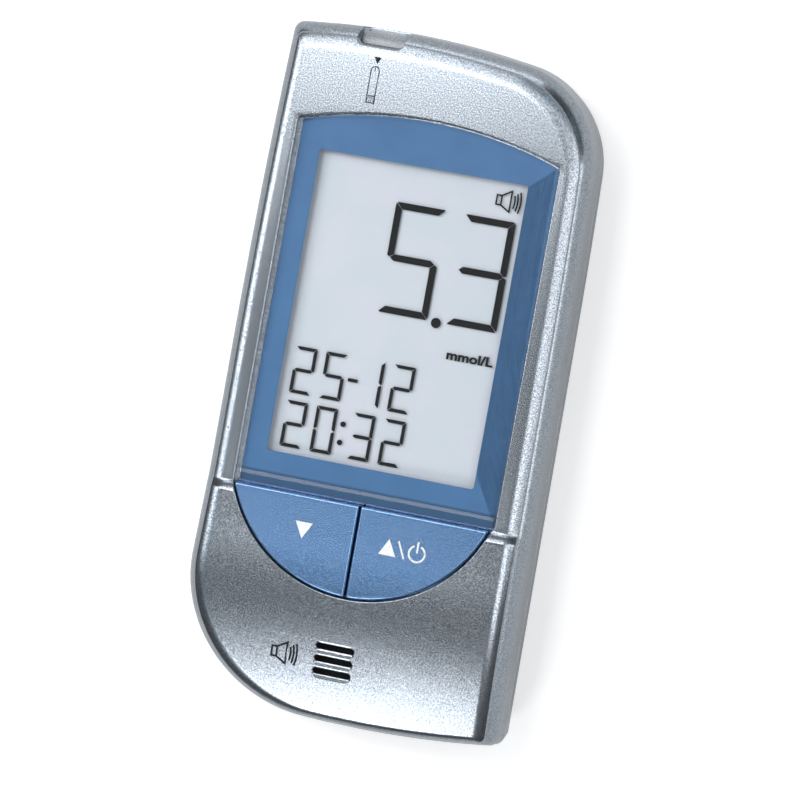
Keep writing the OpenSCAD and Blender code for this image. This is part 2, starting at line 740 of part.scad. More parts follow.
// ---- Keys ----
dome_top = rim_z;
pill_clear = 0.05;          // left under a pill when its key is pressed home
pill_z = pcb_top + contact_t + key_travel + pill_clear;
module key_mat() color("gainsboro") {
    difference() {
        union() {
            intersection() {
                half_moon(key_r - 1.6, key_top_y - 0.6, pcb_top, pcb_top + mat_t);
                box(-half_w, half_w, pcb_y0 + 0.2, y_top, pcb_top, pcb_top + mat_t);
            }
            at_domes(pcb_top) cylinder(d1 = dome_d, d2 = key_post_d + 0.4, h = dome_top - pcb_top);
        }
        at_domes(pcb_top - eps)
            cylinder(d1 = dome_d - 2 * dome_wall, d2 = pill_d + fit_gap, h = pill_z + pill_t - pcb_top + eps);
    }
}
module at_domes(z) {
    for (s = [-1, 1]) translate([key_x + s * dome_x, dome_y, z]) children();
}
module pill(s) {
    translate([key_x + s * dome_x, dome_y, pill_z]) cylinder(d = pill_d, h = pill_t);
}
module down_key_pill() color("dimgray") pill(-1);
module power_key_pill() color("dimgray") pill(1);
// The space under the face of the key section, raised by lift
module under_face(lift, z0) {
    n = 12;
    y1 = step_y - step_run;
    y0 = y1 - key_drop - 2;
    translate([-half_w, 0, 0]) rotate([90, 0, 90]) linear_extrude(body_w) polygon([
        [step_y + 1, z0],
        [step_y + 1, top_z(y1) + lift],
        for (i = [0 : n]) let (y = y1 + (y0 - y1) * i / n) [y, top_z(y) + lift],
        [y0, z0]
    ]);
}
module one_side(s, shrink) {
    gap = key_split / 2 + shrink;
    box(s > 0 ? key_x + gap : -half_w, s > 0 ? half_w : key_x - gap, y_low, y_top, 0, high);
}
module key(s) {
    union() {
        difference() {
            intersection() {
                half_moon(key_r, key_top_y, rim_z, high);
                one_side(s, 0);
                under_face(key_proud, rim_z);
            }
            intersection() {
                half_moon(key_r - key_wall, key_top_y - key_wall, rim_z - 1, high);
                one_side(s, key_wall);
                under_face(-key_wall, rim_z - 1);
            }
        }
        // Rim under the collar of the housing
        difference() {
            intersection() {
                half_moon(key_r + key_rim_w, key_top_y + key_rim_w, rim_z, rim_top);
                one_side(s, 0);
            }
            intersection() {
                half_moon(key_r - key_wall, key_top_y - key_wall, rim_z - 1, high);
                one_side(s, key_wall);
            }
        }
        intersection() {
            translate([key_x + s * dome_x, dome_y, rim_z]) cylinder(d = key_post_d, h = high);
            under_face(-key_wall / 2, rim_z);
        }
    }
}
module down_key() color("cornflowerblue") key(-1);
module power_key() color("cornflowerblue") key(1);

// ---- Speaker ----
module at_speaker(z) {
    translate([speaker_x, speaker_y, z]) children();
}
speaker_wall = 0.7;
cone_t = 0.4;
cone_sink = cone_t + 0.1;
cone_d = speaker_d - 2 * (speaker_wall + fit_gap);
coil_d = cone_d / 2;
module speaker_case() color("gray") {
    at_speaker(speaker_z) difference() {
        cylinder(d = speaker_d, h = speaker_h);
        translate([0, 0, speaker_h / 2]) cylinder(d = speaker_d - 2 * speaker_wall, h = speaker_h);
    }
}
module speaker_cone() color("black") {
    at_speaker(speaker_top - cone_sink) difference() {
        cylinder(d1 = coil_d + 4 * cone_t, d2 = cone_d, h = cone_t);
        translate([0, 0, cone_t / 2]) cylinder(d1 = coil_d, d2 = cone_d - 4 * cone_t, h = cone_t);
    }
    at_speaker(speaker_z + speaker_h / 2) cylinder(d = coil_d, h = speaker_h / 2 - cone_sink);
}
module speaker_gasket() color("dimgray") {
    at_speaker(speaker_top) ring(speaker_d, speaker_d - 2 * gasket_w, gasket_t);
}
module speaker_mesh() color("black") {
    at_speaker(speaker_top + gasket_t) cylinder(d = speaker_d, h = mesh_t);
}
lead_d = 0.7;
module speaker_leads() color("firebrick") {
    for (s = [-1, 1])
        translate([speaker_x + s * 1.4, 0, pcb_top + lead_d / 2]) rotate([-90, 0, 0])
            translate([0, 0, speaker_y + speaker_d / 2 - 0.1])
                cylinder(d = lead_d, h = pcb_y0 - speaker_y - speaker_d / 2 + 1.5);
}

// ---- Strip port ----
module strip_port() color("lightgray") {
    x0 = port_x - notch_w / 2;
    x1 = port_x + notch_w / 2;
    y1 = y_top - port_back;
    z1 = face_z - port_sink;
    r = (y1 - port_y0) * 0.85;
    difference() {
        intersection() {
            union() {
                box(x0, x1, port_y0, y1, split_z, z1 - r);
                box(x0, x1, port_y0, y1 - r, z1 - r - eps, z1);
                translate([x0, y1 - r, z1 - r]) rotate([0, 90, 0])
                    cylinder(r = r, h = x1 - x0, $fn = 64);
            }
            notch(-port_gap, split_z, z1);
        }
        box(port_x - strip_slot_w / 2, port_x + strip_slot_w / 2, port_y0 - 1, y_top + 1,
            slot_z - strip_slot_h / 2, slot_z + strip_slot_h / 2);
    }
}
module strip_socket() color("black") {
    difference() {
        box(port_x - notch_w / 2, port_x + notch_w / 2, socket_y0, pcb_y1, pcb_top, pcb_top + socket_h);
        box(port_x - strip_slot_w / 2, port_x + strip_slot_w / 2, socket_y0 + 1, pcb_y1 + 1,
            slot_z - strip_slot_h / 2, slot_z + strip_slot_h / 2);
    }
}
module strip_contacts() color("gold") {
    for (i = [-1 : 1])
        translate([port_x + i * 1.6, 0, 0])
            box(-0.3, 0.3, socket_y0 + 1, pcb_y1 - 1.5, slot_z - strip_slot_h / 2,
                slot_z - strip_slot_h / 2 + 0.2);
}

// ---- Batteries ----
cell_y0 = bay_y0 + plate_t + spring_len;
// A cell with its contact towards +Y for s = 1 and towards -Y for s = -1
module cell(s) {
    translate([-s * cell_x, s > 0 ? cell_y0 : bay_y0 + plate_t + cell_len, cell_z])
        rotate([-90 * s, 0, 0]) {
            cylinder(d = cell_d, h = cell_len - cell_nub_h);
            cylinder(d = cell_nub_d, h = cell_len);
        }
}
module battery_left() color("darkgoldenrod") cell(1);
module battery_right() color("darkgoldenrod") cell(-1);
// One contact spring, a helix that narrows towards the cell
spring_sides = 6;
turn_steps = 12;
function spring_ring(t) = let (
        a = 360 * spring_turns * t,
        r = (spring_d - spring_wire) / 2 - t * spring_d * 0.2,
        z = spring_wire / 2 + t * (spring_len - spring_wire)
    ) [
        for (k = [0 : spring_sides - 1]) let (b = 360 * k / spring_sides, q = r + spring_wire / 2 * cos(b))
            [q * cos(a), q * sin(a), z + spring_wire / 2 * sin(b)]
    ];
module spring() {
    n = spring_turns * turn_steps;
    m = spring_sides;
    polyhedron(
        points = [for (i = [0 : n]) each spring_ring(i / n)],
        faces = [
            [for (k = [0 : m - 1]) k],
            [for (k = [m - 1 : -1 : 0]) n * m + k],
            for (i = [0 : n - 1], k = [0 : m - 1]) let (
                    a = i * m + k,
                    b = i * m + (k + 1) % m
                ) each [[a, a + m, b], [b, a + m, b + m]]
        ],
        convexity = 8
    );
}
module battery_springs() color("silver") {
    translate([-cell_x, bay_y0 + plate_t, cell_z]) rotate([-90, 0, 0]) spring();
    translate([cell_x, bay_y1 - plate_t, cell_z]) rotate([90, 0, 0]) spring();
}
module battery_plates() color("silver") {
    plate_half = cell_d / 2 - 1;
    for (y = [bay_y0, bay_y1 - plate_t])
        box(-cell_x - plate_half, cell_x + plate_half, y, y + plate_t,
            cell_z - plate_half, cell_z + plate_half);
}

// ---- Screws ----
module screw(d, len, head_d, head_h) {
    difference() {
        union() {
            cylinder(d = head_d, h = head_h);
            cylinder(d = d, h = head_h + len);
        }
        for (a = [0, 90])
            rotate(a) box(-head_d / 3, head_d / 3, -d / 8, d / 8, -1, head_h / 2);
    }
}
module housing_screws() color("gray") {
    at(screw_spots, screw_sunk) screw(screw_d, screw_len, screw_head_d, screw_head_h);
}
module pcb_screws() color("gray") {
    at(pcb_screw_spots, pcb_z - pcb_screw_head_h)
        screw(pcb_screw_d, pcb_screw_len, pcb_screw_head_d, pcb_screw_head_h);
}

front_housing();
rear_housing();
battery_cover();
display_lens();
lens_tape();
lcd_glass();
lcd_reflector();
lcd_frame();
zebra_strips();
main_pcb();
pcb_chips();
key_contacts();
key_mat();
down_key();
down_key_pill();
power_key();
power_key_pill();
speaker_case();
speaker_cone();
speaker_gasket();
speaker_mesh();
speaker_leads();
strip_port();
strip_socket();
strip_contacts();
battery_left();
battery_right();
battery_springs();
battery_plates();
housing_screws();
pcb_screws();
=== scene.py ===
"""Blood glucose meter: housings, lens, display, keys, signs, finishes and stage."""

import math

import bmesh
import bpy
import numpy as np
from mathutils import Matrix, Vector


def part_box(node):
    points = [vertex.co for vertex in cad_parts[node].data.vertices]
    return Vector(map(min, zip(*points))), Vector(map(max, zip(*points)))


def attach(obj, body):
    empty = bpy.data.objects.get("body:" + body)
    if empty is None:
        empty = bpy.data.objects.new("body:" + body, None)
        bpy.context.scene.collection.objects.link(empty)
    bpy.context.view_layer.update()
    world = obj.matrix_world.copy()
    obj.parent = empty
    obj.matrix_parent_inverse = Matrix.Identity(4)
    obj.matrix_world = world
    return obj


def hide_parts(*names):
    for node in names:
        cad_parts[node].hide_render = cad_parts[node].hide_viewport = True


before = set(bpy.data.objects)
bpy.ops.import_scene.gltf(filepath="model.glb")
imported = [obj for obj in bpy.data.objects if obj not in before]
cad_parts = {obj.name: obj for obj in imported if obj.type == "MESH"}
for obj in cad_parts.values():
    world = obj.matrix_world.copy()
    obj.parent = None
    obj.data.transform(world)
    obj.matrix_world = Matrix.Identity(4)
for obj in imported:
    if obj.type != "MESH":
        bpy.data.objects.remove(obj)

bl_info = {
    "name": "Glucose Meter Looks",
    "version": (1, 0, 0),
    "blender": (4, 5, 0),
    "location": "View3D > Sidebar > Meter",
    "description": "Builds the looks of a blood glucose meter round its CAD frame",
    "category": "Object",
}

MM = 0.001

# Body, in millimetres: the same values as the CAD part
BODY_LEN, BODY_W, TAPER, SIDE_BOW, BOW_FROM, END_R = 107.6, 53.2, 2.2, 0.7, 15.0, 152.0
LEFT_WAIST, WAIST_IN, WAIST_OUT = 0.36, 20.0, 30.0
TOP_PEAK_X, BOTTOM_PEAK_X = -9.7, 2.5
TOP_CORNER_R, BOTTOM_CORNER_R, TIGHT_CORNER_R, CORNER_MIN = 14.9, 22.5, 1.6, 0.5
SPLIT_Z, FACE_Z, WALL, BACK_WALL = 11.4, 21.0, 1.8, 1.6
FACE_ROLL_W, FACE_ROLL_H, BACK_ROLL_W, BACK_ROLL_H = 2.6, 4.6, 5.2, 6.2
# Shares of an inset that the lower end, the upper end and the corner radii take
EVEN, ROLLED = (1.0, 1.0, 1.0), (0.56, 1.22, 0.25)
SIDE_LEAN = 0.3
HALF_W, Y_TOP, Y_LOW = BODY_W / 2, BODY_LEN / 2, -BODY_LEN / 2
STEP_Y, STEP_H, STEP_RUN, CREST_RUN, CROWN_R = Y_LOW + 35.15, 0.7, 1.8, 5.6, 132.0
CREST_Y = STEP_Y - CREST_RUN
END_FLAT = 0.02
# HIGH is above every piece; LAP is how far joined solids reach into each other
HIGH, LAP = 25.0, 0.01

# Lens and display. LENS_SHY draws the lens in at its left and top edges. WINDOW is the
# hole in the housing and VIEW the one in the printed border: x0, x1, y0, y1.
LENS_W, LENS_GAP, LENS_R, LENS_PEAK_X = 40.8, 0.2, 66.0, -1.3
LENS_Z, LENS_TOP, SEAT_Z, PRINT_T = 19.25, 20.75, 18.3, 0.03
LENS_Y0, LENS_Y1 = STEP_Y + LENS_GAP / 2, Y_TOP - 13.1
LENS_BEVEL, LENS_SLOPE_W, LENS_SLOPE_H = 0.18, 2.1, 0.2
LENS_SHY = (0.3, 0.15)
WINDOW = (-17.2, 17.2, -14.25, 34.6)
VIEW = (-16.68, 16.12, -13.25, 33.61)
GLASS_Z, PANEL_TOP, MARK_Z, MARK_T = 16.9, 17.5, 17.95, 0.04

# Marks of the display, placed from the lower left corner of VIEW: the places of the
# characters, their width, height, stroke and gap; then dots, dash, unit and sound sign
BIG_X, BIG_Y, BIG = (12.88, 23.73), 23.96, (8.05, 17.15, 1.15, 0.1)
SMALL_X, DATE_Y, TIME_Y = (1.48, 6.28, 12.28, 17.13), 9.21, 0.86
DATE, TIME = (3.45, 7.35, 0.6, 0.07), (3.45, 7.25, 0.6, 0.07)
DOTS = ((22.28, 23.86, 0.78), (10.83, 5.93, 0.43), (10.78, 3.08, 0.43))
DASH = ((10.33, 12.57), (11.88, 12.57), (11.88, 13.09), (10.33, 13.09))
UNIT_X, UNIT_Y, UNIT_W, UNIT_H, UNIT_BOLD = 24.78, 18.71, 7.3, 1.5, 0.035
SOUND_X, SOUND_Y, SOUND_SCALE, SOUND_LINE = 28.13, 44.06, 0.94, 0.24

# Keys
KEY_X, KEY_DROP, KEY_GAP, KEY_SPLIT = -0.2, 14.7, 0.25, 0.35
KEY_HOLE_R = ((LENS_W / 2) ** 2 + KEY_DROP**2) / (2 * KEY_DROP)
KEY_CY = STEP_Y - KEY_DROP + KEY_HOLE_R
KEY_R = KEY_HOLE_R - KEY_GAP
KEY_TOP_Y = STEP_Y - LENS_GAP / 2 - KEY_GAP / 2
KEY_PROUD, KEY_WALL, KEY_RIM_W, KEY_RIM_Z, KEY_RIM_TOP = 0.1, 1.2, 0.8, 17.3, 18.1
KEY_POST_R, KEY_POST_TOP = 2.5, 20.7
# How far a printed sign reaches below and above the face
SIGN_SINK, SIGN_T = 0.02, 0.015
DOME_X, DOME_Y = LENS_W / 4, STEP_Y - KEY_DROP * 0.45

# Sound slots and the ring round the speaker. A slot's lip is LIP_ABOVE as wide above the
# slot as below it and LIP_DEPTH deep in the middle, both as shares of its width, and
# LIP_TILT makes it deeper below than above.
SLOT_X, SLOT_Y, SLOT_PITCH, SLOT_LEN, SLOT_W = -0.4, -43.25, 1.97, 6.0, 1.0
LIP_ABOVE, LIP_DEPTH, LIP_TILT = 0.45, 0.29, 0.67
RING_R, RING_HOLE_R, RING_Z, SLOT_FOOT = 6.5, 5.1, 17.44, 16.8
# Sound sign beside the slots: its place from theirs, and its stroke
SIGN_DX, SIGN_DY, SIGN_LINE = -9.74, -0.17, 0.32

# Strip port, and the notch it sits in: its cutter's (widening, height) steps
PORT_X, NOTCH_W, NOTCH_DEPTH, NOTCH_R = -10.1, 7.6, 3.4, 1.3
PORT_TOP, PORT_GAP, PORT_SHY, PORT_EDGE, PORT_ROLL = FACE_Z - 3.4, 0.15, 0.5, 0.25, 0.85
STRIP_HALF_W, STRIP_Z0, STRIP_Z1 = 2.9, 15.85, 16.75
SCOOP = ((-0.45, PORT_TOP + 0.14), (0.0, FACE_Z - 0.5), (0.3, FACE_Z), (0.3, HIGH))

# Battery bay, cover and cells
BAY_HALF_W, BAY_WALL, BAY_Y0, BAY_Y1, ROOF_Z = 10.95, 1.0, -49.1, 0.0, 12.7
COVER_HALF_W, COVER_GAP, COVER_END_H, COVER_LEG = 13.7, 0.25, 8.2, 0.9
RAIL_W, RAIL_H = 1.2, 0.9
RIB_Z = BACK_WALL + COVER_GAP
HOOK_Z = RIB_Z + RAIL_H + COVER_GAP
WEB_Z = HOOK_Z + RAIL_H + COVER_GAP
BAY_X = BAY_HALF_W + BAY_WALL
CHANNEL_X = COVER_HALF_W + COVER_GAP
COVER_Y1 = 1.6
CHANNEL_Y1 = COVER_Y1 + COVER_GAP
GRIP_COUNT, GRIP_PITCH, GRIP_FROM = 5, 1.8, 5.0
GRIP_PROFILE = ((-6.0, 0.1), (-5.6, 0.4), (5.6, 0.4), (6.0, 0.1))
ARROW_HALF_W, ARROW_FROM, ARROW_TO, ARROW_DEPTH = 2.2, 15.5, 18.7, 0.25
CELL_LEN, CELL_BAND, CELL_END, PLUS_GAP, MINUS_GAP = 43.7, 12.0, 0.9, 4.3, 1.1

# Screws: their places, the posts in both halves and the holes for them
SCREWS = ((-17.4, 44.6), (16.1, 40.8), (-18.15, -35.8), (18.15, -45.1))
POST_R, BORE_R, BORE_DEPTH = 2.5, 0.85, 4.9
BACK_POST_R, HOLE_R, RECESS_R, RECESS_Z, SINK_R, SINK_Z = 3.0, 1.15, 2.05, 3.0, 2.45, 0.3

# Camera: tilt, side and roll in degrees, lens in mm, aim in mm and distance in m
CAMERA_TURN, CAMERA_LENS = (11.063, 18.069, 10.853), 145.12
CAMERA_AIM, CAMERA_AWAY = (2.804, -1.807, 21.0), 0.49096
FLOOR_HALF = 1500.0

# How strongly plastics bend light
PLASTIC_IOR, ACRYLIC_IOR = 1.5, 1.49


# ---- Shapes shared by the pieces ----
def smooth(t):
    """Rises from 0 to 1 with level ends as t goes from 0 to 1."""
    t = min(max(t, 0.0), 1.0)
    return t * t * (3 - 2 * t)


def face_below(y, depth=0.0):
    """Height of the face at y, a depth below its edge, where the step fades out."""
    step = STEP_H * smooth((STEP_Y - y) / STEP_RUN) * max(0.0, 1 - depth / FACE_ROLL_H)
    return FACE_Z - depth + step - max(0.0, CREST_Y - y) ** 2 / (2 * CROWN_R)


def end_centre(e):
    """Centre of the upper (e = 1) or lower (e = -1) end's arc."""
    return (TOP_PEAK_X, Y_TOP - END_R) if e > 0 else (BOTTOM_PEAK_X, Y_LOW + END_R)


def end_inset(e, d, k):
    """How far an inset of d moves an end, with the shares k."""
    return d * (k[1] if e > 0 else k[0])


def corner(s, e, d, k):
    """Centre and radius of a corner arc: s is the side, e the end, d the inset."""
    size = (TOP_CORNER_R if s > 0 else TIGHT_CORNER_R) if e > 0 else (
        TIGHT_CORNER_R if s > 0 else BOTTOM_CORNER_R
    )
    r = max(size - k[2] * d, CORNER_MIN)
    x = s * (HALF_W - d - r)
    cx, cy = end_centre(e)
    return x, cy + e * math.sqrt((END_R - end_inset(e, d, k) - r) ** 2 - (x - cx) ** 2), r


def narrow(y):
    """Share of the width that is left at y: the sides taper, and bow in at the top."""
    bow = SIDE_BOW * max(0.0, (y - BOW_FROM) / (Y_TOP - BOW_FROM)) ** 2
    return 1 - (TAPER * (y - Y_LOW) / BODY_LEN + 2 * bow) / BODY_W


def waist(y):
    """How far the left side is drawn in round the step."""
    return (
        LEFT_WAIST * smooth(1 + (y - STEP_Y) / WAIST_IN)
        * (1 - smooth((y - STEP_Y) / WAIST_OUT) / 2)
    )


def edge_x(s, y, d, k):
    """Side s of the body's outline at an inset of d, with the shares k."""
    up, low = corner(s, 1, d, k), corner(s, -1, d, k)
    up_r, low_r = END_R - end_inset(1, d, k), END_R - end_inset(-1, d, k)

    def arc(cx, cy, r):
        return cx + s * math.sqrt(max(0.0, r * r - (y - cy) ** 2))

    def tangent(e, a, r):
        cy = end_centre(e)[1]
        return cy + (a[1] - cy) * r / (r - a[2])

    if y >= tangent(1, up, up_r):
        x = arc(*end_centre(1), up_r)
    elif y > up[1]:
        x = arc(*up)
    elif y > low[1]:
        x = s * (HALF_W - d)
    elif y > tangent(-1, low, low_r):
        x = arc(*low)
    else:
        x = arc(*end_centre(-1), low_r)
    return x * narrow(y) + (waist(y) if s < 0 else 0.0)


def body_rows(d, k, low, step, top):
    """Heights y of the outline's points, closer together at both ends and the step."""
    a = Y_LOW + end_inset(-1, d, k) + END_FLAT
    b = Y_TOP - end_inset(1, d, k) - END_FLAT
    return (
        [a + (STEP_Y - STEP_RUN - a) * (i / low) ** 2 for i in range(low + 1)]
        + [STEP_Y - STEP_RUN * (1 - i / step) for i in range(1, step + 1)]
        + [b - (b - STEP_Y) * (i / top) ** 2 for i in range(top - 1, -1, -1)]
    )


def body_ring(d, height, dense=True, k=EVEN):
    """Left and right points of the outline at an inset of d, at height(y)."""
    ys = body_rows(d, k, *((110, 10, 150) if dense else (24, 4, 36)))
    return (
        [(edge_x(-1, y, d, k), y, height(y)) for y in ys],
        [(edge_x(1, y, d, k), y, height(y)) for y in ys],
    )


def arch_y(x, grow=0.0):
    """The lens's arched upper edge."""
    r = LENS_R + grow
    return LENS_Y1 - LENS_R + math.sqrt(r * r - (x - LENS_PEAK_X) ** 2)


def rounded(corners, steps=8):
    """Closed outline from (x, y, radius) corners."""
    out = []
    n = len(corners)
    for i, (x, y, r) in enumerate(corners):
        p = Vector((x, y))
        if r <= 0:
            out.append((x, y))
            continue
        a = (Vector(corners[i - 1][:2]) - p).normalized()
        b = (Vector(corners[(i + 1) % n][:2]) - p).normalized()
        half = a.angle(b) / 2
        centre = p + (a + b).normalized() * (r / math.sin(half))
        start = p + a * (r / math.tan(half)) - centre
        end = p + b * (r / math.tan(half)) - centre
        turn = start.angle_signed(end)
        for k in range(steps + 1):
            v = start.copy()
            v.rotate(Matrix.Rotation(-turn * k / steps, 2))
            out.append(tuple(centre + v))
    return out


def lens_outline(grow, left=0.0, top=0.0, corner_r=0.9, n=48):
    """Outline of the lens: straight sides, arched top, small round corners.

    left and top draw the left side and the arch in on their own.
    """
    x, y0 = LENS_W / 2 + grow, LENS_Y0 - grow
    x0 = left - x
    r = corner_r + grow
    arch = [
        (px, arch_y(px, grow) - top, 0.0)
        for px in (x - 2.5 - (x - x0 - 5) * i / n for i in range(n + 1))
    ]
    return rounded(
        [(x0, y0, 0.35 + grow), (x, y0, 0.35 + grow), (x, arch_y(x, grow) - top, r)]
        + arch
        + [(x0, arch_y(x0, grow) - top, r)]
    )


def moon_outline(r, y1, n=120):
    """Half-moon of the keys: an arc of radius r below the line y = y1."""
    a = math.acos(min(1.0, (KEY_CY - y1) / r))
    return [
        (KEY_X + r * math.sin(-a + 2 * a * i / n), KEY_CY - r * math.cos(-a + 2 * a * i / n))
        for i in range(n + 1)
    ]


def capsule(x, y, length, width, n=16):
    """Outline of a slot with round ends."""
    r = width / 2
    out = []
    for s in (1, -1):
        for i in range(n + 1):
            a = -math.pi / 2 + math.pi * i / n + (math.pi if s < 0 else 0)
            out.append((x + s * (length / 2 - r) + r * math.cos(a), y + r * math.sin(a)))
    return out


def notch_outline(grow, n=10):
    """Notch of the strip port, open past the upper end."""
    x, y0 = NOTCH_W / 2 + grow, Y_TOP - NOTCH_DEPTH - grow
    r = NOTCH_R + grow
    return rounded(
        [
            (PORT_X - x, y0, r),
            (PORT_X + x, y0, r),
            (PORT_X + x, Y_TOP + 1, 0.0),
            (PORT_X - x, Y_TOP + 1, 0.0),
        ],
        n,
    )


# ---- Meshes ----
def weld(bm, reach):
    """Merges points closer than reach, in metres, and drops the faces that this empties."""
    bmesh.ops.remove_doubles(bm, verts=bm.verts, dist=reach)
    bmesh.ops.dissolve_degenerate(bm, edges=bm.edges, dist=reach)


def mesh_object(name, points, faces, solid=True):
    """An object from points in millimetres; a solid is welded and shaded smooth."""
    mesh = bpy.data.meshes.new(name)
    mesh.from_pydata([tuple(c * MM for c in p) for p in points], [], faces)
    bm = bmesh.new()
    bm.from_mesh(mesh)
    if solid:
        weld(bm, 1e-7)
    bmesh.ops.recalc_face_normals(bm, faces=bm.faces)
    bm.to_mesh(mesh)
    bm.free()
    obj = bpy.data.objects.new(name, mesh)
    bpy.context.scene.collection.objects.link(obj)
    if solid:
        soften(obj)
    return obj


def soften(obj, crease=28):
    """Smooth shading with sharp edges above the crease angle, in degrees."""
    obj.data.polygons.foreach_set("use_smooth", [True] * len(obj.data.polygons))
    obj.data.set_sharp_from_angle(angle=math.radians(crease))


def row_solid(name, rings):
    """A closed solid from rings of (left points, right points) with equal rows."""
    n = 2 * len(rings[0][0])
    rows = n // 2
    points = [p for left, right in rings for p in left + right[::-1]]
    faces = []
    for j in range(len(rings) - 1):
        for i in range(n):
            a, b = j * n + i, j * n + (i + 1) % n
            faces.append((a, b, b + n, a + n))
    for first in (0, (len(rings) - 1) * n):
        for i in range(rows - 1):
            faces.append((first + i, first + i + 1, first + n - 2 - i, first + n - 1 - i))
    return mesh_object(name, points, faces)


def stack(name, rings):
    """A closed solid from outlines of equal length, flat at both ends."""
    n = len(rings[0])
    faces = [tuple(range(n)), tuple(range((len(rings) - 1) * n, len(rings) * n))]
    for j in range(len(rings) - 1):
        for i in range(n):
            a, b = j * n + i, j * n + (i + 1) % n
            faces.append((a, b, b + n, a + n))
    return mesh_object(name, [p for ring in rings for p in ring], faces)


def prism(name, outline, z0, z1):
    """An outline raised from z0 to z1."""
    return stack(name, [[(x, y, z) for x, y in outline] for z in (z0, z1)])


def block(name, x0, x1, y0, y1, z0, z1):
    """A box between two corners."""
    return prism(name, [(x0, y0), (x1, y0), (x1, y1), (x0, y1)], z0, z1)


def disc(name, x, y, r, z0, z1, n=48, r1=None):
    """A cylinder or a cone that stands on z0."""
    turns = [2 * math.pi * i / n for i in range(n)]
    return stack(
        name,
        [
            [(x + q * math.cos(a), y + q * math.sin(a), z) for a in turns]
            for q, z in ((r, z0), (r if r1 is None else r1, z1))
        ],
    )


def combine(base, tool, operation="DIFFERENCE"):
    """Cuts, joins or intersects two solids into the first."""
    mod = base.modifiers.new("combine", "BOOLEAN")
    mod.object = tool
    mod.operation = operation
    mod.solver = "MANIFOLD"
    dg = bpy.context.evaluated_depsgraph_get()
    mesh = bpy.data.meshes.new_from_object(base.evaluated_get(dg))
    base.modifiers.clear()
    old, base.data = base.data, mesh
    bpy.data.meshes.remove(old)
    spare = tool.data
    bpy.data.objects.remove(tool)
    bpy.data.meshes.remove(spare)
    if not base.data.polygons:
        raise RuntimeError(f"nothing is left of {base.name}")
    return base


def joined(tools):
    """Several solids as one."""
    base = tools[0]
    for tool in tools[1:]:
        combine(base, tool, "UNION")
    return base


def settle(obj, material, body="housing", nodes=(), crease=28):
    """Finishes a piece: its shading, material, body, hidden nodes and slot."""
    bm = bmesh.new()
    bm.from_mesh(obj.data)
    weld(bm, 2e-7)
    bm.to_mesh(obj.data)
    bm.free()
    soften(obj, crease)
    weighted = obj.modifiers.new("even shading", "WEIGHTED_NORMAL")
    weighted.keep_sharp = True
    obj.data.name = obj.name
    obj.data.materials.clear()
    obj.data.materials.append(material)
    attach(obj, body)
    if nodes:
        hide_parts(*nodes)
    return obj


# ---- Housings ----
def bezier(a, b, c, steps):
    """Points of a curve from a to c that bends towards b, without a itself."""
    out = []
    for i in range(1, steps + 1):
        t = i / steps
        out.append(
            tuple((1 - t) ** 2 * p + 2 * t * (1 - t) * q + t * t * r for p, q, r in zip(a, b, c))
        )
    return out


def face_roll(w, h, end=66.0, steps=18, fillet=1.0):
    """[inset, depth] pairs from the side wall up to the face, with a soft crease."""
    top = math.radians(end)
    sx, sy = w / (1 - math.cos(top)), h / math.sin(top)
    arc = [
        (SIDE_LEAN + sx * (1 - math.cos(a)), h - sy * math.sin(a))
        for a in (top * i / steps for i in range(steps + 1))
    ]
    edge = arc.pop()
    while math.dist(arc[-1], edge) < fillet:
        arc.pop()
    slope = math.hypot(sy * math.cos(top), sx * math.sin(top))
    back = (
        edge[0] - fillet * sx * math.sin(top) / slope,
        edge[1] + fillet * sy * math.cos(top) / slope,
    )
    return arc + [back] + bezier(back, edge, (edge[0] + fillet, 0.0), 8)


def quarter_roll(inset, w, h, steps):
    """[inset, depth] pairs of a full quarter round."""
    return [
        (inset + SIDE_LEAN + w * (1 - math.cos(a)), h * (1 - math.sin(a)))
        for a in (math.pi / 2 * i / steps for i in range(steps + 1))
    ]


def front_solid(name, inset, groove):
    """The front half of the body, solid; inset makes the one that hollows it out."""
    if inset:
        roll = quarter_roll(inset, FACE_ROLL_W - inset, FACE_ROLL_H - inset, 6)
        base = SPLIT_Z - LAP
        rings = [body_ring(inset, lambda y: base, False)]
        k = EVEN
    else:
        roll = face_roll(FACE_ROLL_W, FACE_ROLL_H)
        base = SPLIT_Z
        rings = [
            body_ring(groove, lambda y: base),
            body_ring(0, lambda y: base + groove),
        ]
        k = ROLLED
    for d, depth in roll:
        rings.append(
            body_ring(
                d,
                lambda y, depth=depth: max(face_below(y, depth) - inset, base + 2 * groove),
                not inset,
                k,
            )
        )
    return row_solid(name, rings)


def back_solid(name, inset, groove, up_to, steps=14):
    """The rear half of the body, solid, down to the back face at z = 0."""
    roll = quarter_roll(inset, BACK_ROLL_W - inset, BACK_ROLL_H - inset, steps)
    dense = not inset
    rings = [body_ring(inset or groove, lambda y: up_to, dense)]
    if not inset:
        rings.append(body_ring(0, lambda y: up_to - groove))
    for d, depth in roll:
        rings.append(body_ring(d, lambda y, depth=depth: depth + inset, dense))
    return row_solid(name, rings)


def flared(name, outline_at, z0, edge_r, steps=5):
    """A cutter whose mouth widens where it meets the face, so that the edge is round."""
    rings = [[(x, y, z0) for x, y in outline_at(0.0)]]
    for i in range(steps + 1):
        a = math.pi / 2 * i / steps
        grow, depth = edge_r * (1 - math.cos(a)), edge_r * (1 - math.sin(a))
        rings.append([(x, y, face_below(y) - depth) for x, y in outline_at(grow)])
    rings.append([(x, y, HIGH) for x, y in outline_at(edge_r)])
    return stack(name, rings)


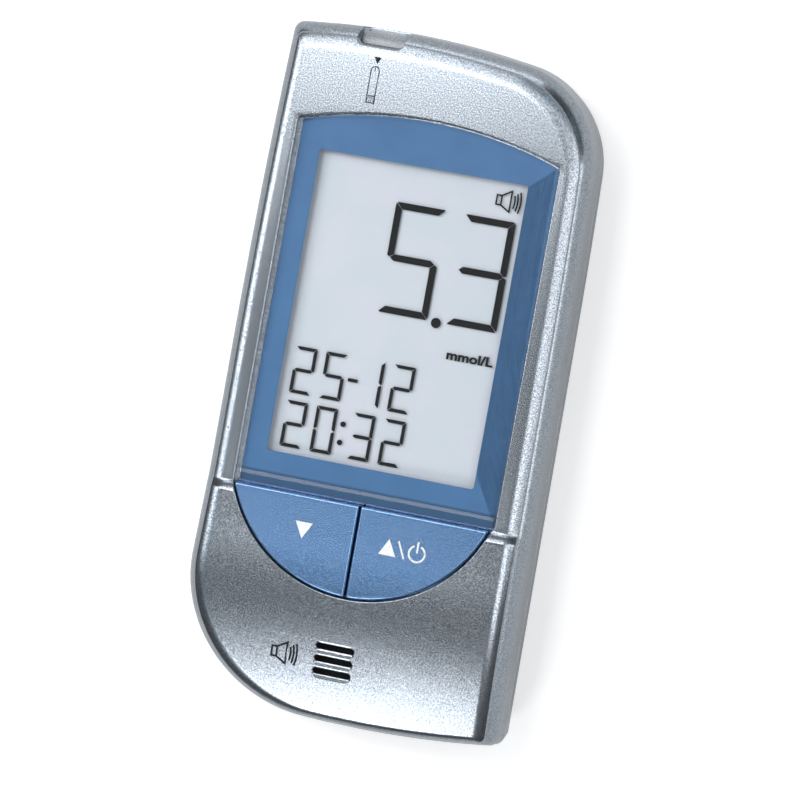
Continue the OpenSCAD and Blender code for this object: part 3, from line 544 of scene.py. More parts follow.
def slot_cutter(y, lip):
    """A sound slot with a sloped lip, wider and deeper below the slot than above it."""
    above, depth = LIP_ABOVE * lip, LIP_DEPTH * lip
    hole = capsule(SLOT_X, y, SLOT_LEN, SLOT_W)
    mouth = capsule(SLOT_X, y - (lip - above) / 2, SLOT_LEN + above, SLOT_W + lip + above)

    def lip_depth(py):
        return depth * (1 - LIP_TILT * (py - y) / SLOT_W)

    return stack(
        "slot",
        [
            [(px, py, SLOT_FOOT) for px, py in hole],
            [(px, py, face_below(py) - lip_depth(py)) for px, py in hole],
            [(px, py, face_below(py)) for px, py in mouth],
            [(px, py, HIGH) for px, py in mouth],
        ],
    )


def front_shell(settings):
    """Front housing: hollow, with posts and ledges inside, and its openings."""
    groove = settings.seam_groove / MM
    edge = settings.edge_round / MM
    shell = combine(front_solid("front_shell", 0, groove), front_solid("hollow", WALL, groove))
    mid = front_solid("mid", WALL / 2, groove)
    lugs = [
        prism("ledge", lens_outline(1.0), SEAT_Z, HIGH),
        prism("collar", moon_outline(KEY_HOLE_R + 1, STEP_Y + LAP), SEAT_Z, HIGH),
        combine(
            disc("ring", SLOT_X, SLOT_Y, RING_R, RING_Z, HIGH),
            disc("hole", SLOT_X, SLOT_Y, RING_HOLE_R, RING_Z - 1, HIGH + 1),
        ),
    ]
    lugs += [disc("post", x, y, POST_R, SPLIT_Z, HIGH) for x, y in SCREWS]
    combine(shell, combine(mid, joined(lugs), "INTERSECT"), "UNION")
    # Openings: lens pocket, display window, half-moon of the keys, slots, notch
    combine(shell, flared("pocket", lambda g: lens_outline(LENS_GAP + g), LENS_Z - 0.15, edge))
    combine(shell, block("window", *WINDOW, SEAT_Z - 1, HIGH))
    combine(
        shell,
        flared("moon", lambda g: moon_outline(KEY_HOLE_R + g, STEP_Y), SEAT_Z - 1, edge),
    )
    for i in (-1, 0, 1):
        combine(shell, slot_cutter(SLOT_Y + i * SLOT_PITCH, settings.slot_chamfer / MM))
    combine(shell, prism("notch", notch_outline(0), SPLIT_Z - 1, PORT_TOP + 0.15))
    combine(
        shell,
        stack("scoop", [[(x, y, z) for x, y in notch_outline(grow)] for grow, z in SCOOP]),
    )
    for x, y in SCREWS:
        combine(shell, disc("bore", x, y, BORE_R, SPLIT_Z - LAP, SPLIT_Z + BORE_DEPTH))
    return shell


def cover_channel(name, grow):
    """The room that the battery cover takes at the back, grown on all sides."""
    x = COVER_HALF_W + grow
    return block(name, -x, x, Y_LOW - 1, COVER_Y1 + grow, -1, COVER_END_H + grow)


def both_sides(name, x0, x1, *rest):
    """A box on the right and its mirror image on the left."""
    return [block(name, x0, x1, *rest), block(name, -x1, -x0, *rest)]


def hollow_back(name, groove):
    """The rear half of the body as a shell."""
    return combine(
        back_solid(name, 0, groove, SPLIT_Z),
        back_solid("hollow", BACK_WALL, groove, SPLIT_Z + LAP, 6),
    )


def rear_shell(settings):
    """Rear housing: battery bay with ribs and rails, the cover's channel and the posts."""
    groove = settings.seam_groove / MM
    shell = hollow_back("rear_shell", groove)
    combine(shell, cover_channel("channel", COVER_GAP))
    bay = combine(
        block("bay", -BAY_X, BAY_X, BAY_Y0 - BAY_WALL, BAY_Y1 + BAY_WALL, RIB_Z, ROOF_Z + BAY_WALL),
        block("room", -BAY_HALF_W, BAY_HALF_W, BAY_Y0, BAY_Y1, -1, ROOF_Z),
    )
    ribs = both_sides(
        "rib", BAY_X - LAP, BAY_X + RAIL_W / 2, BAY_Y0, BAY_Y1, RIB_Z, RIB_Z + RAIL_H
    )
    web_top = WEB_Z + BAY_WALL
    webs = both_sides("web", BAY_X - LAP, CHANNEL_X + BAY_WALL, BAY_Y0, COVER_Y1, WEB_Z, web_top)
    bay = combine(
        joined([bay] + ribs + webs),
        back_solid("inside", RIB_Z, groove, ROOF_Z + BAY_WALL + 1, 6),
        "INTERSECT",
    )
    parts = [shell, bay]
    parts += both_sides(
        "wall", CHANNEL_X, CHANNEL_X + BAY_WALL, BAY_Y0, CHANNEL_Y1 + BAY_WALL,
        BACK_WALL - LAP, web_top,
    )
    parts.append(
        block(
            "end", -CHANNEL_X - BAY_WALL, CHANNEL_X + BAY_WALL, CHANNEL_Y1,
            CHANNEL_Y1 + BAY_WALL, BACK_WALL - LAP, web_top,
        )
    )
    parts.append(block("lid", -CHANNEL_X, CHANNEL_X, BAY_Y1, CHANNEL_Y1 + LAP, WEB_Z, web_top))
    parts += [disc("post", x, y, BACK_POST_R, BACK_WALL - LAP, SPLIT_Z) for x, y in SCREWS]
    shell = joined(parts)
    for x, y in SCREWS:
        combine(shell, disc("recess", x, y, RECESS_R, -1, RECESS_Z))
        combine(shell, disc("hole", x, y, HOLE_R, 0, SPLIT_Z + 1))
        # Small countersink at the mouth of each recess
        combine(shell, disc("mouth", x, y, SINK_R, -0.1, SINK_Z, r1=RECESS_R))
    return shell


def cover_shell(settings):
    """Battery cover: part of the back and the lower end, with hooks, a grip and an arrow."""
    shell = combine(
        hollow_back("cover_shell", settings.seam_groove / MM),
        cover_channel("channel", 0),
        "INTERSECT",
    )
    top = HOOK_Z + RAIL_H
    y1 = COVER_Y1 - 1
    inner = COVER_HALF_W - COVER_LEG
    parts = [shell]
    parts += both_sides("leg", inner, COVER_HALF_W, BAY_Y0, y1, BACK_WALL - LAP, top)
    parts += both_sides("hook", inner - RAIL_W / 2, COVER_HALF_W, BAY_Y0, y1, HOOK_Z, top)
    shell = joined(parts)
    # Grip: round grooves with raised ends, and an arrow that points to the lower end
    for i in range(GRIP_COUNT):
        y = COVER_Y1 - GRIP_FROM - i * GRIP_PITCH
        groove_cut = stack(
            "grip",
            [
                [
                    (x, y + r * math.cos(a), r * math.sin(a))
                    for a in (2 * math.pi * k / 24 for k in range(24))
                ]
                for x, r in GRIP_PROFILE
            ],
        )
        combine(shell, groove_cut)
    y = COVER_Y1 - ARROW_FROM
    arrow = [(-ARROW_HALF_W, y), (ARROW_HALF_W, y), (0.0, COVER_Y1 - ARROW_TO)]
    combine(shell, prism("arrow", arrow, -1, ARROW_DEPTH))
    return shell


def port_insert():
    """Insert of the strip port: rounded over the upper end, with the strip slot."""
    y0, y1 = Y_TOP - NOTCH_DEPTH + PORT_GAP, Y_TOP - PORT_SHY
    z1 = PORT_TOP
    r = (y1 - y0) * PORT_ROLL
    x = NOTCH_W / 2
    profile = [(y0, SPLIT_Z), (y1, SPLIT_Z)] + [
        (y1 - r + r * math.cos(a), z1 - r + r * math.sin(a))
        for a in (math.pi / 2 * i / 16 for i in range(17))
    ] + [(y0 + PORT_EDGE, z1), (y0, z1 - PORT_EDGE)]
    body = stack("port_insert", [[(PORT_X + s * x, y, z) for y, z in profile] for s in (-1, 1)])
    combine(body, prism("trim", notch_outline(-PORT_GAP), SPLIT_Z - 1, HIGH), "INTERSECT")
    slot = block(
        "slot", PORT_X - STRIP_HALF_W, PORT_X + STRIP_HALF_W, y0 - 1, Y_TOP + 1, STRIP_Z0, STRIP_Z1
    )
    return combine(body, slot)


# ---- Lens and display ----
def lens_plate():
    """Clear lens: fine bevel all round, and a wide slope along the lower edge."""
    rings = [
        [(x, y, z) for x, y in lens_outline(grow, *LENS_SHY)]
        for grow, z in (
            (0.0, LENS_Z + PRINT_T), (0.0, LENS_TOP - LENS_BEVEL), (-LENS_BEVEL, LENS_TOP)
        )
    ]
    plate = stack("lens_plate", rings)
    run, y1 = 3 * LENS_SLOPE_W, LENS_Y0 + LENS_SLOPE_W
    y0, foot = y1 - run, LENS_TOP - LENS_SLOPE_H / LENS_SLOPE_W * run
    side = [(y1, LENS_TOP), (y0, foot), (y0, HIGH), (y1, HIGH)]
    return combine(plate, stack("slope", [[(x, y, z) for y, z in side] for x in (-HALF_W, HALF_W)]))


def lens_print():
    """Printed border on the underside of the lens, with the window left open."""
    x0, x1, y0, y1 = VIEW
    border = prism("lens_print", lens_outline(-0.02, *LENS_SHY), LENS_Z, LENS_Z + PRINT_T)
    hole = rounded([(x0, y0, 0.4), (x1, y0, 0.5), (x1, y1, 0.12), (x0, y1, 0.15)])
    return combine(border, prism("hole", hole, LENS_Z - 1, LENS_Z + 1))


def shrink(polygon, gap):
    """A convex polygon, counter-clockwise, with every edge moved in by gap."""
    n = len(polygon)
    out = []
    for i in range(n):
        a, b, c = (Vector(polygon[(i + k) % n]) for k in (-1, 0, 1))
        u, v = (b - a).normalized(), (c - b).normalized()
        nu, nv = Vector((-u.y, u.x)), Vector((-v.y, v.x))
        denom = 1 + nu.dot(nv)
        out.append(tuple(b + (nu + nv) * (gap / denom)))
    return out


SEGMENTS = {
    "0": "abcdef", "1": "bc", "2": "abged", "3": "abgcd", "4": "fgbc",
    "5": "afgcd", "6": "afgedc", "7": "abc", "8": "abcdefg", "9": "abfgcd", "-": "g",
}


def seven(char, x, y, w, h, t, gap):
    """Polygons of one seven-segment character with its lower left corner at x, y."""
    c, m = 0.28 * t, h / 2
    shapes = {
        "a": [
            (c / 2, h - c / 2), (t, h - t), (w - t, h - t), (w - c / 2, h - c / 2),
            (w - c, h), (c, h),
        ],
        "b": [
            (w - c / 2, h - c / 2), (w - t, h - t), (w - t, m + t / 2), (w - 0.4 * t, m),
            (w, m + 0.2 * t), (w, h - c),
        ],
        "f": [
            (c / 2, h - c / 2), (0, h - c), (0, m + 0.2 * t), (0.4 * t, m),
            (t, m + t / 2), (t, h - t),
        ],
        "g": [
            (0.4 * t, m), (t, m - t / 2), (w - t, m - t / 2), (w - 0.4 * t, m),
            (w - t, m + t / 2), (t, m + t / 2),
        ],
    }
    for low, high in (("d", "a"), ("c", "b"), ("e", "f")):
        shapes[low] = [(px, h - py) for px, py in shapes[high]][::-1]
    return [
        [(x + px, y + py) for px, py in shrink(shapes[s], gap / 2)] for s in SEGMENTS[char]
    ]


def stroke(points, width, closed=False):
    """Quads that draw a line of the given width through the points."""
    n = len(points)
    pts = [Vector(p) for p in points]
    left, right = [], []
    for i in range(n):
        before = pts[i - 1] if closed or i else pts[0]
        after = pts[(i + 1) % n] if closed or i < n - 1 else pts[-1]
        u = (pts[i] - before).normalized() if before != pts[i] else None
        v = (after - pts[i]).normalized() if after != pts[i] else None
        u, v = u or v, v or u
        nu, nv = Vector((-u.y, u.x)), Vector((-v.y, v.x))
        off = (nu + nv) * (width / 2 / max(0.2, 1 + nu.dot(nv)))
        left.append(tuple(pts[i] + off))
        right.append(tuple(pts[i] - off))
    last = n if closed else n - 1
    return [
        [right[i], right[(i + 1) % n], left[(i + 1) % n], left[i]] for i in range(last)
    ]


def arc_points(x, y, r, a0, a1, n=16):
    """Points of an arc; angles in degrees, counter-clockwise from +X."""
    return [
        (x + r * math.cos(math.radians(a0 + (a1 - a0) * i / n)),
         y + r * math.sin(math.radians(a0 + (a1 - a0) * i / n)))
        for i in range(n + 1)
    ]


def circle(x, y, r, n=32):
    """Outline of a dot."""
    return arc_points(x, y, r, 0, 360 - 360 / n, n - 1)


def plates(name, polygons, low, high):
    """Thin plates with the given outlines between two heights, each a function of y."""
    points, faces = [], []
    for polygon in polygons:
        k, n = len(points), len(polygon)
        points += [(x, y, low(y)) for x, y in polygon] + [(x, y, high(y)) for x, y in polygon]
        faces += [tuple(range(k, k + n)), tuple(range(k + n, k + 2 * n))]
        faces += [(k + i, k + (i + 1) % n, k + n + (i + 1) % n, k + n + i) for i in range(n)]
    return mesh_object(name, points, faces, solid=False)


def speaker_sign(x, y, k, line):
    """Outlined loudspeaker with three sound arcs; k scales it, line is the stroke."""
    box_w, box_h, cone_w, cone_h = 0.8 * k, 1.55 * k, 1.53 * k, 3.4 * k
    x1, x2 = x + box_w, x + box_w + cone_w
    low, high = y - box_h / 2, y + box_h / 2
    shapes = stroke([(x, low), (x1, low), (x1, high), (x, high)], line, True)
    shapes += stroke([(x1, high), (x2, y + cone_h / 2), (x2, y - cone_h / 2), (x1, low)], line)
    for reach, half in ((2.85, 1.08), (3.28, 1.42), (3.74, 1.72)):
        bulge = 0.14 * half * k
        r = (half * half * k * k + bulge * bulge) / (2 * bulge)
        a = math.degrees(math.asin(half * k / r))
        shapes += stroke(arc_points(x + reach * k + bulge - r, y, r, -a, a), line)
    return shapes


def strip_sign(x, base):
    """Arrow and outlined test strip below the notch's lower edge, with lines at its foot."""
    line = 0.15
    x0, x1 = x - 0.53, x + 0.73
    mid = (x0 + x1) / 2
    low, high = base - 7.5, base - 3.75
    foot = low - 1.08
    shapes = [[(x - 0.36, base - 1.56), (x + 0.2, base - 2.66), (x + 0.76, base - 1.56)]]
    shapes += stroke(
        [(x0, low), (x0, high)] + arc_points(mid, high + 0.1, (x1 - x0) / 2, 170, 10, 12)
        + [(x1, high), (x1, low)], line,
    )
    shapes += stroke([(x0, low), (x1, low), (x1, foot), (x0, foot)], line, True)
    shapes += stroke([(mid, high + 0.75), (mid, high - 0.05)], 0.12)
    for k in range(4):
        at = x0 + (x1 - x0) * (k + 0.5) / 4
        shapes += stroke([(at - 0.12, foot + 0.03), (at + 0.12, low - 0.05)], 0.1)
    return shapes


def unit_text(name, text, x, y, width, height):
    """A short unit in bold letters, as a flat mesh in millimetres at x, y."""
    curve = bpy.data.curves.new(name, "FONT")
    curve.body = text
    curve.offset = UNIT_BOLD
    obj = bpy.data.objects.new(name, curve)
    bpy.context.scene.collection.objects.link(obj)
    dg = bpy.context.evaluated_depsgraph_get()
    mesh = bpy.data.meshes.new_from_object(obj.evaluated_get(dg))
    bpy.data.objects.remove(obj)
    bpy.data.curves.remove(curve)
    co = np.empty(len(mesh.vertices) * 3)
    mesh.vertices.foreach_get("co", co)
    co = co.reshape(-1, 3)
    low, high = co.min(0), co.max(0)
    co[:, 0] = (x + (co[:, 0] - low[0]) / (high[0] - low[0]) * width) * MM
    co[:, 1] = (y + (co[:, 1] - low[1]) / (high[1] - low[1]) * height) * MM
    co[:, 2] = MARK_Z * MM
    mesh.vertices.foreach_set("co", co.ravel())
    mesh.update()
    return mesh


def display_marks(settings):
    """Dark segments inside the display glass: reading, date, time, unit, sound sign."""
    shapes = []
    left, low = VIEW[0], VIEW[2]
    for text, columns, y, size in (
        (settings.reading.replace(".", ""), BIG_X, BIG_Y, BIG),
        (settings.date.replace("-", ""), SMALL_X, DATE_Y, DATE),
        (settings.clock.replace(":", ""), SMALL_X, TIME_Y, TIME),
    ):
        for char, x in zip(text, columns):
            shapes += seven(char, left + x, low + y, *size)
    shapes += [circle(left + x, low + y, r) for x, y, r in DOTS]
    shapes.append([(left + x, low + y) for x, y in DASH])
    shapes += speaker_sign(left + SOUND_X, low + SOUND_Y, SOUND_SCALE, SOUND_LINE)
    marks = plates("display_marks", shapes, lambda y: MARK_Z, lambda y: MARK_Z + MARK_T)
    unit = unit_text("unit", "mmol/L", left + UNIT_X, low + UNIT_Y, UNIT_W, UNIT_H)
    bm = bmesh.new()
    bm.from_mesh(unit)
    bmesh.ops.recalc_face_normals(bm, faces=bm.faces)
    raised = bmesh.ops.extrude_face_region(bm, geom=bm.faces[:])
    for v in (g for g in raised["geom"] if isinstance(g, bmesh.types.BMVert)):
        v.co.z += MARK_T * MM
    bmesh.ops.recalc_face_normals(bm, faces=bm.faces)
    bm.from_mesh(marks.data)
    bm.to_mesh(marks.data)
    bm.free()
    bpy.data.meshes.remove(unit)
    return marks


# ---- Keys ----
def key_ring(s, d, height, n=90):
    """Left and right points of a key's outline at an inset of d."""
    r, gap = KEY_R - d, KEY_SPLIT / 2 + d
    y0 = KEY_CY - math.sqrt(r * r - gap * gap) + 0.005
    y1 = KEY_TOP_Y - d
    ys = [y0 + (y1 - y0) * (i / n) ** 2 for i in range(n + 1)]
    outer = [KEY_X + s * math.sqrt(r * r - (y - KEY_CY) ** 2) for y in ys]
    inner = [KEY_X + s * gap] * len(ys)
    left, right = (inner, outer) if s > 0 else (outer, inner)
    return (
        [(x, y, height(y)) for x, y in zip(left, ys)],
        [(x, y, height(y)) for x, y in zip(right, ys)],
    )


def key_face(y, depth=0.0):
    """Top of the keys, without the step's own slope."""
    return face_below(min(y, STEP_Y - STEP_RUN)) + KEY_PROUD - depth


def key_cap(name, s, edge):
    """One key: a hollow cap with a rim below and a post over its dome; s is the side."""
    steps = 6
    rings = [key_ring(s, 0, lambda y: KEY_RIM_Z)]
    for i in range(steps + 1):
        a = math.pi / 2 * i / steps
        rings.append(
            key_ring(
                s,
                edge * (1 - math.cos(a)),
                lambda y, a=a: key_face(y, edge * (1 - math.sin(a))),
            )
        )
    cap = row_solid(name, rings)
    hollow = row_solid(
        "hollow",
        [
            key_ring(s, KEY_WALL, lambda y: KEY_RIM_Z - 1),
            key_ring(s, KEY_WALL, lambda y: key_face(y, KEY_PROUD + KEY_WALL)),
        ],
    )
    combine(cap, hollow)

    def half_moon(name, grow, z0, z1):
        """This side's half of the moon; a positive grow leaves the split as it is."""
        side = KEY_X + s * (KEY_SPLIT / 2 + max(0.0, -grow))
        return combine(
            prism(name, moon_outline(KEY_R + grow, KEY_TOP_Y + grow), z0, z1),
            block("half", *sorted((side, s * HALF_W)), Y_LOW, Y_TOP, 0, HIGH),
            "INTERSECT",
        )

    rim = half_moon("rim", KEY_RIM_W, KEY_RIM_Z, KEY_RIM_TOP)
    inner = half_moon("inner", -KEY_WALL, KEY_RIM_Z - 1, HIGH)
    combine(cap, combine(rim, inner), "UNION")
    post = disc("post", KEY_X + s * DOME_X, DOME_Y, KEY_POST_R, KEY_RIM_Z, KEY_POST_TOP)
    return combine(cap, post, "UNION")


def key_marks():
    """Outlines of the signs on the keys, for each side, placed from the keys' upper middle."""
    down = [[(-9.48, -4.24), (-8.14, -6.79), (-6.77, -4.24)]]
    up = [[(4.04, -6.78), (6.72, -6.78), (5.38, -4.24)]]
    up += stroke([(6.86, -4.29), (8.04, -6.84)], 0.26)
    up += stroke(arc_points(9.92, -5.69, 1.24, 66, -244, 40)[::-1], 0.28)
    up += stroke([(9.92, -5.59), (9.92, -3.84)], 0.27)
    return {
        s: [[(KEY_X + x, STEP_Y + y) for x, y in shape] for shape in shapes]
        for s, shapes in ((-1, down), (1, up))
    }


# ---- Materials ----
def linear(colour):
    """An sRGB hex colour as linear RGBA."""
    value = colour.lstrip("#")
    out = []
    for i in (0, 2, 4):
        c = int(value[i : i + 2], 16) / 255
        out.append(c / 12.92 if c <= 0.04045 else ((c + 0.055) / 1.055) ** 2.4)
    return (*out, 1.0)


def add(tree, kind, **settings):
    """Adds a node. A setting is an attribute, or with a capital a socket's value or link.

    A number at the end picks among sockets of the same name.
    """
    node = tree.nodes.new(kind)
    for key, value in settings.items():
        if not key[0].isupper():
            setattr(node, key, value)
    for key, value in settings.items():
        if key[0].isupper():
            name, _, number = key.replace("_", " ").rpartition(" ")
            if not number.isdigit():
                name, number = key.replace("_", " "), 0
            socket = [s for s in node.inputs if s.name == name and s.enabled][int(number)]
            if isinstance(value, bpy.types.NodeSocket):
                tree.links.new(value, socket)
            else:
                socket.default_value = value
    return node


def new_material(name):
    """A material without nodes, and its node tree."""
    material = bpy.data.materials.new(name)
    material.use_nodes = True
    material.node_tree.nodes.clear()
    return material, material.node_tree


def finish_material(tree, shader):
    """Leads a shader to the surface."""
    out = tree.nodes.new("ShaderNodeOutputMaterial")
    tree.links.new(shader, out.inputs["Surface"])


def mixed(tree, share, a, b):
    """Colour a where the share is 0, and b where it is 1; each is a hex colour or a socket."""
    a, b = (linear(c) if isinstance(c, str) else c for c in (a, b))
    return add(tree, "ShaderNodeMix", data_type="RGBA", Factor=share, A=a, B=b).outputs[2]


def math_node(tree, operation, *values):
    """The result of one sum; each value is a number or a socket."""
    inputs = {f"Value_{i}": value for i, value in enumerate(values)}
    return add(tree, "ShaderNodeMath", operation=operation, **inputs).outputs[0]


def own_y(tree):
    """Y on the object, which runs from the lower end up, in metres."""
    place = add(tree, "ShaderNodeTexCoord").outputs["Object"]
    return add(tree, "ShaderNodeSeparateXYZ", Vector=place).outputs["Y"]


def speckled(tree, dark, light, size):
    """Two colours mixed by fine noise; size in millimetres. Gives colour and mask."""
    place = add(tree, "ShaderNodeTexCoord").outputs["Object"]
    noise = add(
        tree, "ShaderNodeTexNoise", Vector=place, Scale=1 / (size * MM), Detail=2.0, Roughness=0.6
    )
    mask = add(tree, "ShaderNodeMapRange", Value=noise.outputs[0], From_Min=0.35, From_Max=0.65)
    return mixed(tree, mask.outputs[0], dark, light), mask.outputs[0]


def grained(name, dark, light, size, metallic=0.0, roughness=0.5, bump=0.0, bump_depth=0.3):
    """A finish of two near colours in patches of a size in mm.

    bump tilts the patches, and bump_depth is their height as a share of their size.
    """
    material, tree = new_material(name)
    colour, mask = speckled(tree, dark, light, size)
    shader = add(
        tree, "ShaderNodeBsdfPrincipled", Base_Color=colour, Metallic=metallic, Roughness=roughness
    )
    if not metallic:
        shader.inputs["IOR"].default_value = PLASTIC_IOR
    if bump:
        tilt = add(
            tree, "ShaderNodeBump", Strength=bump, Distance=size * MM * bump_depth, Height=mask
        )
        tree.links.new(tilt.outputs[0], shader.inputs["Normal"])
    finish_material(tree, shader.outputs[0])
    return material


def lens_ink_with_slope_shade(name, dark, light, edge):
    """Even ink with painted shade: a darker strip along the lens's lower edge, where it slopes."""
    material, tree = new_material(name)
    colour = speckled(tree, dark, light, 6.0)[0]
    # Painted shade: below the top of the lower slope, the ink turns to the darker edge colour
    top, blur = (LENS_Y0 + LENS_SLOPE_W) * MM, 0.15 * MM
    strip = add(
        tree, "ShaderNodeMapRange", Value=own_y(tree), From_Min=top - blur,
        From_Max=top + blur,
    )
    shader = add(
        tree, "ShaderNodeBsdfPrincipled", Base_Color=mixed(tree, strip.outputs[0], edge, colour),
        Roughness=0.5,
    )
    finish_material(tree, shader.outputs[0])
    return material


def clear_sheet(name, ior, roughness):
    """Clear plastic: lets light straight through, and mirrors at its outer face only."""
    material, tree = new_material(name)
    through = add(tree, "ShaderNodeBsdfTransparent", Color=(1, 1, 1, 1))
    mirror = add(tree, "ShaderNodeBsdfGlossy", Color=(1, 1, 1, 1), Roughness=roughness)
    gloss = add(tree, "ShaderNodeFresnel", IOR=ior).outputs[0]
    inner = add(tree, "ShaderNodeNewGeometry").outputs["Backfacing"]
    share = math_node(tree, "MULTIPLY", gloss, math_node(tree, "SUBTRACT", 1.0, inner))
    mix = add(
        tree, "ShaderNodeMixShader", Fac=share, Shader_0=through.outputs[0],
        Shader_1=mirror.outputs[0],
    )
    finish_material(tree, mix.outputs[0])
    return material


def materials(settings):
    """The finishes of the pieces that the operators build."""
    grain = settings.grain / MM
    return {
        # Silver paint: fine light and dark flakes under a soft metal sheen
        "silver": grained(
            "silver flake paint", "#6f7881", "#b0b7bf", grain, 0.9, settings.paint_roughness
        ),
        # Blue paint of the keys: the same sheen, deeper in colour, with a finer grain
        "key_blue": grained("blue flake paint", "#4f7cae", "#90b2dd", grain * 0.9, 0.85, 0.26),
        # Duller grey of the port's insert, a little rough to the touch
        "port_grey": grained(
            "grey flake paint", "#8b9298", "#b9bec3", grain * 0.9, 0.5, 0.5, 0.1, 0.25
        ),
        # Blue print under the lens: even, with painted shade as a darker strip over the slope below
        # the window
        "lens_blue": lens_ink_with_slope_shade("blue lens ink with painted slope shade", "#3d6e9e", "#4273a4", "#2b567d"),
        # Glossy clear lens that puts a gap between the surface and the print
        "lens_clear": clear_sheet("clear acrylic", ACRYLIC_IOR, 0.03),
        # Pale, faintly blue ground of the display, matt behind the glossy lens
        "lcd_back": grained("display background", "#cdd7df", "#d4d9e3", 9.0, 0.0, 0.6),
        # Near-black segments without any gloss of their own
        "lcd_black": grained("display black", "#0c0e10", "#121416", 1.0, 0.0, 0.8),
        # Off-white print of the signs on the keys
        "white_ink": grained("white key ink", "#eceff4", "#fbfaf6", 0.6),
        # Matt black print of the signs on the housing
        "black_ink": grained("black print ink", "#121519", "#1e2227", 0.5, 0.0, 0.85),
    }


# Finishes of the CAD nodes that keep their own shape, with small patches that keep each from
# looking flat: node: (dark, light, patch size in mm, metallic, roughness, bump)
NODE_FINISHES = {
    "lens_tape": ("#101214", "#17191c", 0.5, 0.0, 0.6, 0.1),
    "lcd_reflector": ("#d9dcdf", "#eceef0", 1.0, 0.0, 0.4, 0.05),
    "lcd_frame": ("#dcdedc", "#e8e9e6", 2.0, 0.0, 0.5, 0.03),
    "zebra_strips": ("#26282a", "#3a3c3e", 0.2, 0.0, 0.7, 0.2),
    "main_pcb": ("#14522f", "#1d6b3d", 1.4, 0.0, 0.4, 0.05),
    "pcb_chips": ("#141516", "#202224", 0.3, 0.0, 0.5, 0.15),
    "key_contacts": ("#c79a34", "#e0b552", 0.3, 1.0, 0.3, 0.05),
    "key_mat": ("#c5c8c8", "#d4d6d5", 1.0, 0.0, 0.6, 0.05),
    "down_key_pill": ("#16181a", "#222427", 0.2, 0.0, 0.8, 0.2),
    "power_key_pill": ("#16181a", "#222427", 0.2, 0.0, 0.8, 0.2),
    "speaker_case": ("#8f9396", "#a9adb0", 0.4, 1.0, 0.4, 0.1),
    "speaker_cone": ("#1b1c1e", "#28292c", 0.5, 0.0, 0.5, 0.05),
    "speaker_gasket": ("#1e1f21", "#35373a", 0.3, 0.0, 0.9, 0.4),
    "speaker_mesh": ("#08090a", "#1a1c1e", 0.18, 0.0, 0.85, 0.4),
    "speaker_leads": ("#8e1b1b", "#a82626", 1.0, 0.0, 0.45, 0.03),
    "strip_socket": ("#17181a", "#232527", 0.4, 0.0, 0.5, 0.1),
    "strip_contacts": ("#c79a34", "#e0b552", 0.3, 1.0, 0.3, 0.05),
    "battery_springs": ("#b9bcbf", "#d2d4d6", 0.3, 1.0, 0.25, 0.03),
    "battery_plates": ("#b4b7ba", "#cdd0d2", 0.4, 1.0, 0.3, 0.05),
    "housing_screws": ("#70757a", "#8b9095", 0.3, 1.0, 0.35, 0.1),
    "pcb_screws": ("#9a9ea2", "#b6babd", 0.3, 1.0, 0.3, 0.1),
}


def cell_material(name, plus_end):
    """Battery jacket: dark wrap with a copper band at the plus end, and bare steel ends."""
    material, tree = new_material(name)
    wrap = speckled(tree, "#1b2430", "#27323f", 0.6)[0]
    y = own_y(tree)
    low = BAY_Y0 + (PLUS_GAP if plus_end > 0 else MINUS_GAP)
    high = low + CELL_LEN
    if plus_end > 0:
        band = math_node(tree, "GREATER_THAN", y, (high - CELL_BAND) * MM)
    else:
        band = math_node(tree, "LESS_THAN", y, (low + CELL_BAND) * MM)
    middle, reach = (low + high) / 2, (high - low) / 2 - CELL_END
    away = math_node(tree, "ABSOLUTE", math_node(tree, "SUBTRACT", y, middle * MM))
    bare = math_node(tree, "GREATER_THAN", away, reach * MM)
    colour = mixed(tree, bare, mixed(tree, band, wrap, "#b8733f"), "#b9bcc0")
    shader = add(
        tree, "ShaderNodeBsdfPrincipled", Base_Color=colour, Metallic=0.8, Roughness=0.32
    )
    finish_material(tree, shader.outputs[0])
    return material


def floor_material(settings):
    """White sweep: plain diffuse for the light, lifted to white where it is seen."""
    material, tree = new_material("white sweep")
    colour = speckled(tree, "#e9e9e9", "#efefef", 40.0)[0]
    diffuse = add(tree, "ShaderNodeBsdfDiffuse", Color=colour).outputs[0]
    seen = add(tree, "ShaderNodeLightPath").outputs["Is Camera Ray"]
    lift = math_node(tree, "MULTIPLY", seen, settings.floor_lift)
    glow = add(tree, "ShaderNodeEmission", Color=(1, 1, 1, 1), Strength=lift).outputs[0]
    total = add(tree, "ShaderNodeAddShader", Shader_0=diffuse, Shader_1=glow)
    finish_material(tree, total.outputs[0])
    return material


# ---- Settings ----
def length(name, text, default):
    """A length in metres that shows in the sidebar."""
    return bpy.props.FloatProperty(
        name=name, description=text, default=default * MM, min=0.0, unit="LENGTH",
        subtype="DISTANCE", precision=5,
    )


def amount(name, text, default, high=1.0):
    """A plain number from 0 up."""
    return bpy.props.FloatProperty(name=name, description=text, default=default, min=0.0, max=high)


class MeterBodySettings(bpy.types.PropertyGroup):
    seam_groove: length("Seam groove", "Width of the groove between the housings", 0.06)
    edge_round: length("Edge round", "Radius of the edge round lens and keys", 0.22)
    slot_chamfer: length("Slot lip", "Width of the slope below a sound slot", 0.65)
    key_edge: length("Key edge", "Radius of the edge of a key", 0.3)
    grain: length("Paint grain", "Size of the flakes in the paint", 0.2)
    paint_roughness: amount("Paint roughness", "Roughness of the silver paint", 0.24)


class MeterDisplaySettings(bpy.types.PropertyGroup):
    reading: bpy.props.StringProperty(
        name="Reading", description="Two digits with a decimal point", default="5.3"
    )
    date: bpy.props.StringProperty(name="Date", description="Day and month", default="25-12")
    clock: bpy.props.StringProperty(name="Time", description="Hours and minutes", default="20:32")


class MeterStageSettings(bpy.types.PropertyGroup):
    floor_lift: amount("Floor lift", "Glow that lifts the seen floor to white", 0.42)
    world: amount("World", "Strength of the surrounding light", 0.06)


